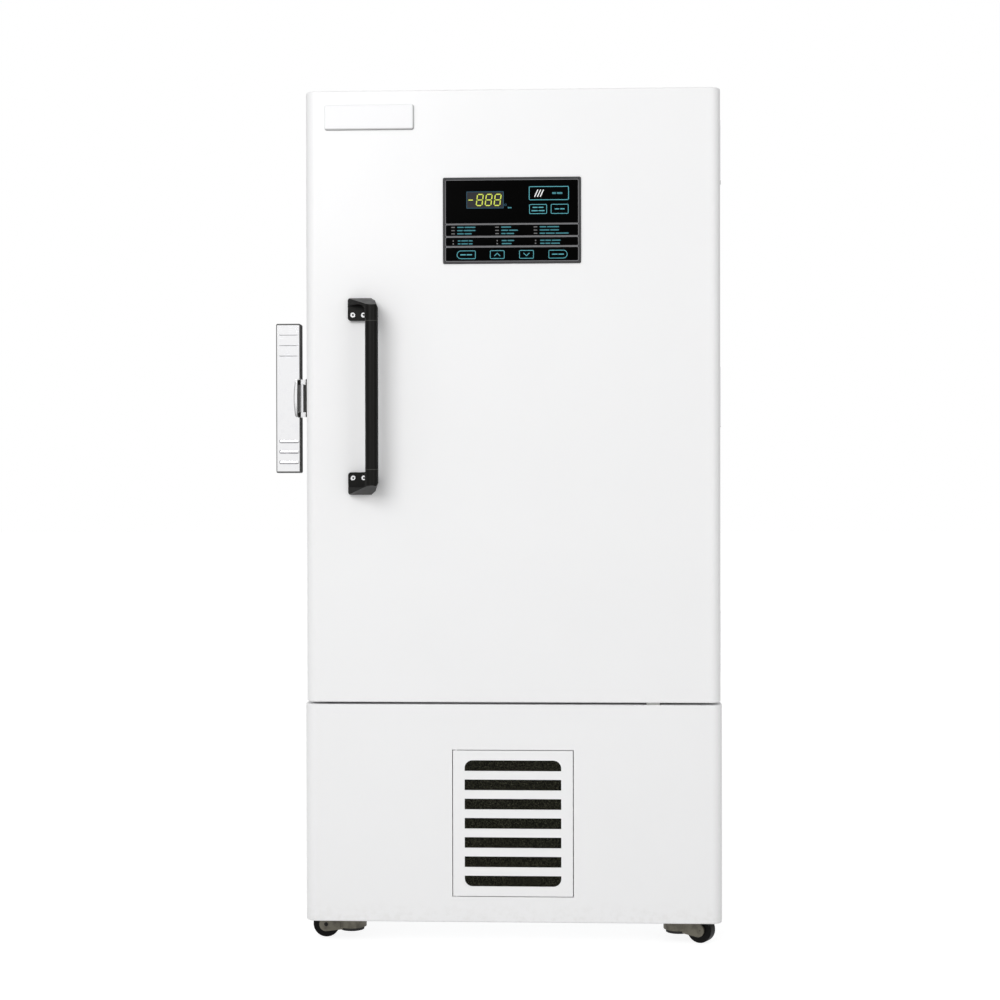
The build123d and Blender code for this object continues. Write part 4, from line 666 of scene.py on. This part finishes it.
# Control panel

# Places and sizes are in millimetres from the panel's centre, apart from those with mm
print_proud = 0.12 * mm
rule_proud = 0.6 * print_proud
film_front = panel_low.y
bands = ((-5.2, 73.9), (-27.9, -8.2), (-46.2, -31.3), (-73.9, -49.6))
band_width, band_line = 244.6, 1.5
rule_levels = (-6.6, -29.7, -47.9)
rule_length, rule_thick = 244, 3.0
buzzer_x, buzzer_z = 68.0, 49.4


def at_panel(path, x, z):
    """Path moved to x, z on the panel and into the frame."""
    return (np.asarray(path, float) + (x, z)) * mm + (panel_x, panel_z)


def print_line(path, x, z, width, front=film_front, closed=True):
    """Printed line along a path round x, z."""
    return bead(at_panel(path, x, z), width * mm, front, print_proud, closed)


def print_bar(x, z, length, thick, proud=print_proud):
    """Printed level bar with its middle at x, z."""
    middle = at_panel((0, 0), x, z)
    return bar(middle[0], middle[1], length * mm, thick * mm, film_front, proud)


def word_marks(x, z, lengths, thick=2.1, gap=1.6):
    """Row of short plain bars where the real panel carries words."""
    marks, reach = [], x
    for length in lengths:
        marks.append(print_bar(reach + length / 2, z, length, thick))
        reach += length + gap
    return marks


grey_lines = []
for low, high in bands:
    outline = rounded_outline(band_width, high - low + 1.6, (2.6,) * 4)
    grey_lines.append(print_line(outline, 0, (low + high) / 2, band_line))
for z in rule_levels:
    grey_lines.append(print_bar(0, z, rule_length, rule_thick, rule_proud))
piece("panel_lines", "outer_door", ink_grey, grey_lines, smooth=False)

buzzer = [print_line(rounded_outline(72.2, 24.2, (2.0,) * 4), buzzer_x, buzzer_z, 1.3)]
piece("panel_frames", "outer_door", ink_teal, buzzer, smooth=False)

display_middle = (display_low + display_high) / 2
display_size = (display_high - display_low) / mm
display_x = (display_middle.x - panel_x) / mm
display_z = (display_middle.z - panel_z) / mm
rim_width = 1.3
rim = rounded_outline(display_size.x - rim_width, display_size.z - rim_width, (1.0,) * 4)
degree = rounded_outline(3.4, 3.4, (1.7,) * 4)
rims = [print_line(rim, display_x, display_z, rim_width, display_low.y),
        print_line(degree, -11.6, 28.6, 1.0)]
piece("display_frame", "outer_door", ink_rim, rims, smooth=False)

slashes = []
for x in (44.8, 50.0, 55.2):
    slashes.append(print_line([(-3.1, -6.6), (3.1, 6.6)], x, buzzer_z, 1.9, closed=False))
piece("buzzer_mark", "outer_door", ink_white, slashes, smooth=False)

status_top, status_step = -12.2, 5.9
status_columns = (
    (-108.2, ((12, 20), (10, 22), (12, 13))),
    (-27.2, ((18,), (13, 16), (8, 14))),
    (43.4, ((12, 22), (18, 16), (10, 16, 24))),
)
alarm_top, alarm_step = -37.0, 5.5
alarm_columns = (
    (-108.0, ((5, 12, 7), (5, 12, 7))),
    (-27.0, ((9, 12), (18,))),
    (43.6, ((8, 10, 16), (8, 9, 16))),
)
dot_turn = np.linspace(0, 5.5, 8)
dot = 0.75 * np.stack([np.cos(dot_turn), np.sin(dot_turn)], axis=1)

lamps = []
words = word_marks(74.0, buzzer_z, (7.0, 10.0), 3.4, 1.8)
words += word_marks(-7.6, 23.4, (7.0,), 2.4)
for x, rows in status_columns:
    for row, lengths in enumerate(rows):
        z = status_top - status_step * row
        lamps.append(print_bar(x, z, 6.6, 1.7))
        words += word_marks(x + 7.6, z, lengths)
for x, rows in alarm_columns:
    for row, lengths in enumerate(rows):
        z = alarm_top - alarm_step * row
        lamps.append(print_line(dot, x, z, 1.2))
        words += word_marks(x + 8.4, z, lengths)
piece("panel_lamps", "outer_door", ink_lamp, lamps, smooth=False)
piece("panel_word_marks", "outer_door", ink_text, words, smooth=False)

digit_width, digit_height, digit_lean = 10.6, 20.4, 0.13


def digit_segments(x, lit):
    """Slanted bars of a digit on the display: each is a bead whose ends run to a point."""
    w, h = digit_width / 2, digit_height / 2
    ends = {
        "a": ((-w, h), (w, h)), "b": ((w, h), (w, 0)), "c": ((w, 0), (w, -h)), "d": ((-w, -h), (w, -h)),
        "e": ((-w, 0), (-w, -h)), "f": ((-w, h), (-w, 0)), "g": ((-w, 0), (w, 0)),
    }
    share = np.array([0.08, 0.18, 0.82, 0.92])[:, None]
    width = np.array([0.4, 1.9, 1.9, 0.4])
    beads = []
    for key in lit:
        start, end = np.array(ends[key][0]), np.array(ends[key][1])
        path = start + (end - start) * share
        path[:, 0] += path[:, 1] * digit_lean
        beads.append(print_line(path, x, display_z, width, display_low.y, closed=False))
    return beads


digits = []
for x in (-59.0, -42.6, -26.2):
    digits += digit_segments(x, "abcdefg")
digits += digit_segments(-75.8, "g")
piece("display_digits", "outer_door", digit_light, digits, smooth=False)

even_corners = (1.6,) * 4
key_outlines = {
    "key_display": (31.4, 16.8, even_corners),
    "key_silence": (31.4, 16.8, even_corners),
    "key_mode": (33.6, 14.4, (1.6, 7.1, 7.1, 1.6)),
    "key_enter": (33.6, 14.4, (7.1, 1.6, 1.6, 7.1)),
    "key_up": (25.6, 14.4, even_corners),
    "key_down": (25.6, 14.4, even_corners),
}
key_words = {
    "key_display": ((3, 20), (-3, 24)),
    "key_silence": ((0, 18),),
    "key_mode": ((0, 22),),
    "key_enter": ((0, 22),),
}
key_arrows = {"key_up": 1, "key_down": -1}
word_gap = 1.6
leg = np.linspace(0, 1, 5)[:, None]
for key, (width, height, radii) in key_outlines.items():
    low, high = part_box(key)
    centre = np.array([(low.x + high.x) / 2, (low.z + high.z) / 2])
    beads = [bead(rounded_outline(width, height, radii) * mm + centre, 1.1 * mm, low.y, print_proud)]
    for z, span in key_words.get(key, ()):
        half = (span - word_gap) / 4
        for side in (-1, 1):
            x = centre[0] + side * (half + word_gap / 2) * mm
            beads.append(bar(x, centre[1] + z * mm, 2 * half * mm, 1.9 * mm, low.y, print_proud))
    if key in key_arrows:
        start, tip, end = np.array([(-5.4, -2.6), (0, 2.6), (5.4, -2.6)]) * (1, key_arrows[key])
        path = np.concatenate([start + (tip - start) * leg, tip + (end - tip) * leg[1:]])
        beads.append(bead(path * mm + centre, 1.3 * mm, low.y, print_proud, closed=False))
    piece("mark_" + key, key, ink_teal, beads, smooth=False)


# Latch and casters


def ridge(path, half_width, proud, front):
    """Rounded ridge along a path in the upright plane: at each point the section is half an ellipse,
    half_width to either side and proud high, and it shrinks to nothing at both ends."""
    across = left_of(np.gradient(path, axis=0))
    angle = np.linspace(0, np.pi, 9)
    spot = path[:, None, :] + across[:, None, :] * (half_width[:, None] * np.cos(angle))[:, :, None]
    y = front - proud[:, None] * np.sin(angle)
    return capped(np.stack([spot[:, :, 0], y, spot[:, :, 1]], axis=2)), False, True


grip_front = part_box("latch_lever")[0].y + 1.0 * mm
rib_left, rib_right = grip_mid_x - 16.5 * mm, grip_mid_x + 20.5 * mm
rib_middle, rib_reach = (rib_left + rib_right) / 2, (rib_right - rib_left) / 2
rib_proud = 1.3 * mm
swing = np.sin(np.linspace(-np.pi / 2, np.pi / 2, 17))
closing = np.sqrt(np.maximum(1 - swing ** 16, 0))
bend = np.linspace(np.pi / 2, 3 * np.pi / 2, 9)
ribs, rib_shadows = [], []
# The thin dark ridges below the ribs are painted shadow lines: dark strips put where shade falls under each
# rib
for side, rib_half, shadow_half in ((1, 1.5 * mm, 0.7 * mm), (-1, 2.6 * mm, 0.85 * mm)):
    for row in range(3):
        z = latch_mid_z + side * (latch_mid_z - low_rib_z - row * rib_step)
        if side < 0:
            path = np.stack([rib_middle + swing * rib_reach, np.full_like(swing, z)], axis=1)
            ribs.append(ridge(path, rib_half * closing, rib_proud * closing, grip_front))
        hook_x = rib_left + rib_half + rib_half * np.cos(bend)
        hook = np.stack([hook_x, z + rib_half * np.sin(bend)], axis=1)
        line_x = np.linspace(rib_left + rib_half, rib_right, 8)[1:]
        line = np.stack([line_x, np.full_like(line_x, z - rib_half)], axis=1)
        path = np.concatenate([hook[4 if side > 0 else 0:], line])
        even = np.full(len(path), 1.0)
        even[[0, -1]] = 0.0
        rib_shadows.append(ridge(path, shadow_half * even, rib_proud * even, grip_front))
piece("lever_ribs", "latch_lever", rib_steel, ribs)
piece("lever_rib_shadows", "latch_lever", rib_shadow_steel, rib_shadows)

boss_proud = 3.1 * mm
rise = np.linspace(-1, 1, 25)
ends = np.sqrt(np.maximum(1 - rise ** 30, 0))
boss_half = (2.9 + 1.5 * np.cos(rise * np.pi / 2)) * mm
boss_path = np.stack([boss_right_x - boss_half, latch_mid_z + rise * boss_reach], axis=1)
boss = ridge(boss_path, boss_half * ends, boss_proud * ends, grip_front)
piece("latch_boss", "latch_lever", boss_steel, [boss])


def turned(profile, centre, out):
    """Profile of radius and height turned round a level axis that points out from a centre."""
    turn = np.linspace(0, 2 * np.pi, 20, endpoint=False)[:, None, None]
    across = np.cos(turn) * np.array([-out[1], out[0], 0.0]) + np.sin(turn) * np.array([0.0, 0.0, 1.0])
    points = np.asarray(centre) + profile[None, :, 0:1] * across + profile[None, :, 1:] * np.asarray(out)
    return points, True, False


fork_half = 16 * mm
cap_profile = np.array([
    (0.0, 0.1), (1.4, 0.1), (1.8, 0.9), (3.1, 1.0), (3.7, 0.6), (3.9, -0.3), (0.0, -0.3),
]) * mm
for corner in ("fl", "fr", "rl", "rr"):
    wheel_low, wheel_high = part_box("caster_wheel_" + corner)
    middle = (wheel_low + wheel_high) / 2
    caps = []
    for side in (-1, 1):
        caps.append(turned(cap_profile, (middle.x, middle.y + side * fork_half, middle.z), (0, side, 0)))
    piece("axle_caps_" + corner, "caster_" + corner, axle_steel, caps)


# Screws

head_profile = np.array([
    (0.0, 0.5), (1.0, 0.5), (1.3, 1.5), (2.3, 1.5), (3.3, 1.1), (3.9, 0.3), (3.9, -0.2), (0.0, -0.2),
]) * mm
flat_profile = head_profile * (1.0, 0.3)
back_low, back_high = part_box("back_panel")
cover_low, cover_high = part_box("rear_cover")
inset = 10 * mm


def edge_spots(low, high, count):
    """Places of screws down both upright edges of a sheet at the rear."""
    levels = np.linspace(low.z + inset, high.z - inset, count)
    return [(side * (high.x - inset), high.y, z) for side in (-1, 1) for z in levels]


rear_spots = edge_spots(back_low, back_high, 9)
rear_spots += [(x, back_high.y, back_high.z - inset) for x in (-0.22, 0, 0.22)]
rear_spots += edge_spots(cover_low, cover_high, 4)
rear_spots += [(x, cover_high.y, z) for x in (-0.1, 0.1) for z in (cover_low.z + inset, cover_high.z - inset)]
heads = [turned(head_profile, spot, (0, 1, 0)) for spot in rear_spots]
piece("rear_screws", "cabinet", rear_screw_zinc, heads)

leaf_low, leaf_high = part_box("hinge_leaves_cabinet")
wing_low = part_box("hinge_leaves_door")[0]
side_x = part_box("cabinet_shell")[1].x
leaf_half = 55 * mm
leaf_levels = [leaf_low.z + leaf_half, (leaf_low.z + leaf_high.z) / 2, leaf_high.z - leaf_half]
for name, body, x, near, step in (("hinge_screws_cabinet", "cabinet", side_x + 2.5 * mm, leaf_high.y, -mm),
                                  ("hinge_screws_door", "outer_door", side_x, wing_low.y, mm)):
    spots = [(x, near + step * deep, z + up * mm)
             for z in leaf_levels for deep in (13, 35) for up in (-38, 38)]
    heads = [turned(flat_profile, spot, (1, 0, 0)) for spot in spots]
    piece(name, body, hinge_screw_steel, heads)

strike_low, strike_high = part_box("latch_strike")
strike_x, strike_y = -side_x - 3 * mm, strike_high.y - 7 * mm
strike_spots = [(strike_x, strike_y, z) for z in (strike_low.z + 8 * mm, strike_high.z - 8 * mm)]
heads = [turned(flat_profile, spot, (-1, 0, 0)) for spot in strike_spots]
piece("strike_screws", "cabinet", hinge_screw_steel, heads)


# Soft and filter parts

gasket_low, gasket_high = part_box("door_gasket")
gasket_width = 26 * mm


def gasket_piece():
    """Door gasket: a bellows section, carried round a rectangle with rounded corners. The left half
    of the section is given in shares of its width and depth."""
    left_half = np.array([
        (-0.5, 0.0), (-0.5, 0.1), (-0.47, 0.2), (-0.36, 0.3), (-0.36, 0.38), (-0.47, 0.5),
        (-0.5, 0.62), (-0.5, 0.78), (-0.46, 0.93), (-0.38, 1.0), (-0.1, 1.0), (-0.06, 0.95),
    ])
    section = np.concatenate([left_half, left_half[::-1] * (-1, 1)])
    wide = gasket_high.x - gasket_low.x - gasket_width
    tall = gasket_high.z - gasket_low.z - gasket_width
    centre = np.array([(gasket_high.x + gasket_low.x) / 2, (gasket_high.z + gasket_low.z) / 2])
    path = rounded_outline(wide, tall, (16 * mm,) * 4, 9) + centre
    outward = -left_of(round_steps(path))
    deep = gasket_high.y - gasket_low.y
    spot = path[:, None, :] + outward[:, None, :] * (section[None, :, 0:1] * gasket_width)
    y = gasket_low.y + np.broadcast_to(section[None, :, 1] * deep, spot.shape[:2])
    points = np.stack([spot[:, :, 0], y, spot[:, :, 1]], axis=2)
    return piece("gasket_bellows", "outer_door", grey_rubber, [(points, True, True)])


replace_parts(gasket_piece(), "door_gasket")

filter_low, filter_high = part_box("foam_filter")


def grid_edge(sheet):
    """Points round the edge of a grid."""
    return np.concatenate([sheet[0], sheet[1:-1, -1], sheet[-1, ::-1], sheet[-2:0:-1, 0]])


def filter_piece():
    """Foam filter: a slab whose front waves a little, from sines of both parameters. Front and back
    draw in close to its four edges."""
    across = np.linspace(-1, 1, 90)[None, :]
    up = np.linspace(-1, 1, 110)[:, None]
    middle = (filter_low + filter_high) / 2
    half = (filter_high - filter_low) / 2
    waves = np.sin(11 * across + 3 * up) + np.sin(7 * across - 13 * up) + np.sin(23 * across + 17 * up)
    crumple = waves / 3
    edge = np.maximum(np.abs(across), np.abs(up)) ** 60
    x = middle.x + half.x * across + 0 * up
    z = middle.z + half.z * up + 0 * across
    front = np.stack([x, filter_low.y + (0.3 + 0.25 * crumple) * mm + edge * half.y * 0.6, z], axis=2)
    back = np.stack([x, np.full_like(x, filter_high.y) - edge * half.y * 0.3, z], axis=2)
    sides = np.stack([grid_edge(front), grid_edge(back)], axis=0)
    return piece("filter_mat", "filter_door", open_foam,
                 [(front, False, False), (back[:, ::-1], False, False), (sides, False, True)])


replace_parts(filter_piece(), "foam_filter")


# Stage, lights and camera


def plain_stage(name, grey, show):
    """Floor: a pale surface that camera, glossy and glass rays see as plain white where no shadow
    lies. Show is the share of white light that is mixed into what they see."""
    f = Finish(name)
    path = f.node("LightPath")
    seen = path.out("Is Camera Ray") + path.out("Is Glossy Ray") + path.out("Is Transmission Ray")
    pale = f.node("BsdfDiffuse", {"Color": (grey, grey, grey, 1)})
    strength = (1.02 - (1 - show) * grey / 2) / show
    white = f.node("Emission", {"Color": (1, 1, 1, 1), "Strength": strength})
    mixed = f.node("MixShader", {0: seen * show, 1: pale, 2: white})
    f.node("OutputMaterial", {"Surface": mixed})
    return f.owner


def stage_plane(name, reach, finish):
    """Level square surface of the stage at height zero, reach metres to each side."""
    corners = [(-reach, -reach, 0), (reach, -reach, 0), (reach, reach, 0), (-reach, reach, 0)]
    mesh = bpy.data.meshes.new(name)
    mesh.from_pydata(corners, [], [(0, 1, 2, 3)])
    mesh.materials.append(finish)
    made = bpy.data.objects.new(name, mesh)
    bpy.context.collection.objects.link(made)


stage_plane("floor", 30, plain_stage("floor_pale", 0.8, 0.62))


def studio_world():
    """White to camera and glass, half strength as soft light. Mirrors see it white ahead, grey
    towards the sides and pale grey behind."""
    f = Finish("studio", bpy.data.worlds.new("studio"))
    path = f.node("LightPath")
    seen, mirrored = path + path.out("Is Transmission Ray"), path.out("Is Glossy Ray")
    behind = f.axis("Y", f.place.out("Generated")) * 0.5 + 0.5
    sides = f.ramp(behind, (0.125, 1.0), (0.4, 0.4), (0.6, 0.4), (0.875, 0.62))
    level = seen + mirrored * sides + (1 - seen - mirrored) * 0.5
    sky = f.node("Background", {"Color": (1, 1, 1, 1), "Strength": level})
    f.node("OutputWorld", {"Surface": sky})
    return f.owner


bpy.context.scene.world = studio_world()


def softbox(name, place, target, width, height, power):
    """Rectangular lamp at a place, turned towards a target."""
    lamp = bpy.data.lights.new(name, "AREA")
    lamp.shape = "RECTANGLE"
    lamp.size, lamp.size_y, lamp.energy = width, height, power
    made = bpy.data.objects.new(name, lamp)
    made.location = place
    made.rotation_euler = (Vector(target) - Vector(place)).to_track_quat("-Z", "Y").to_euler()
    made.visible_camera = False
    bpy.context.collection.objects.link(made)


softbox("key_softbox", (-1.6, -4.2, 2.9), (0, -0.4, 1.1), 2.6, 2.2, 90)
softbox("fill_softbox", (2.4, -3.6, 1.6), (0, -0.4, 0.8), 1.6, 2.4, 16)

camera_place = (0.11694, -3.69078, 0.84839)
camera_angles = (2.431, 0.406, -0.101)
focal_pixels, picture_pixels = 1790, 1000

lens = bpy.data.cameras.new("camera")
lens.sensor_width = 36.0
lens.lens = focal_pixels / picture_pixels * lens.sensor_width
lens.clip_start, lens.clip_end = 0.05, 100
camera = bpy.data.objects.new("camera", lens)
yaw, pitch, roll = np.radians(camera_angles)
ahead = Vector((-math.sin(yaw) * math.cos(pitch), math.cos(yaw) * math.cos(pitch), -math.sin(pitch)))
level = Vector((math.cos(yaw), math.sin(yaw), 0))
upright = level.cross(ahead)
right = level * math.cos(roll) + upright * math.sin(roll)
above = upright * math.cos(roll) - level * math.sin(roll)
aim = Matrix((right, above, -ahead)).transposed().to_4x4()
camera.matrix_world = Matrix.Translation(camera_place) @ aim
bpy.context.collection.objects.link(camera)
bpy.context.scene.camera = camera
bpy.context.scene.view_settings.view_transform = "Standard"
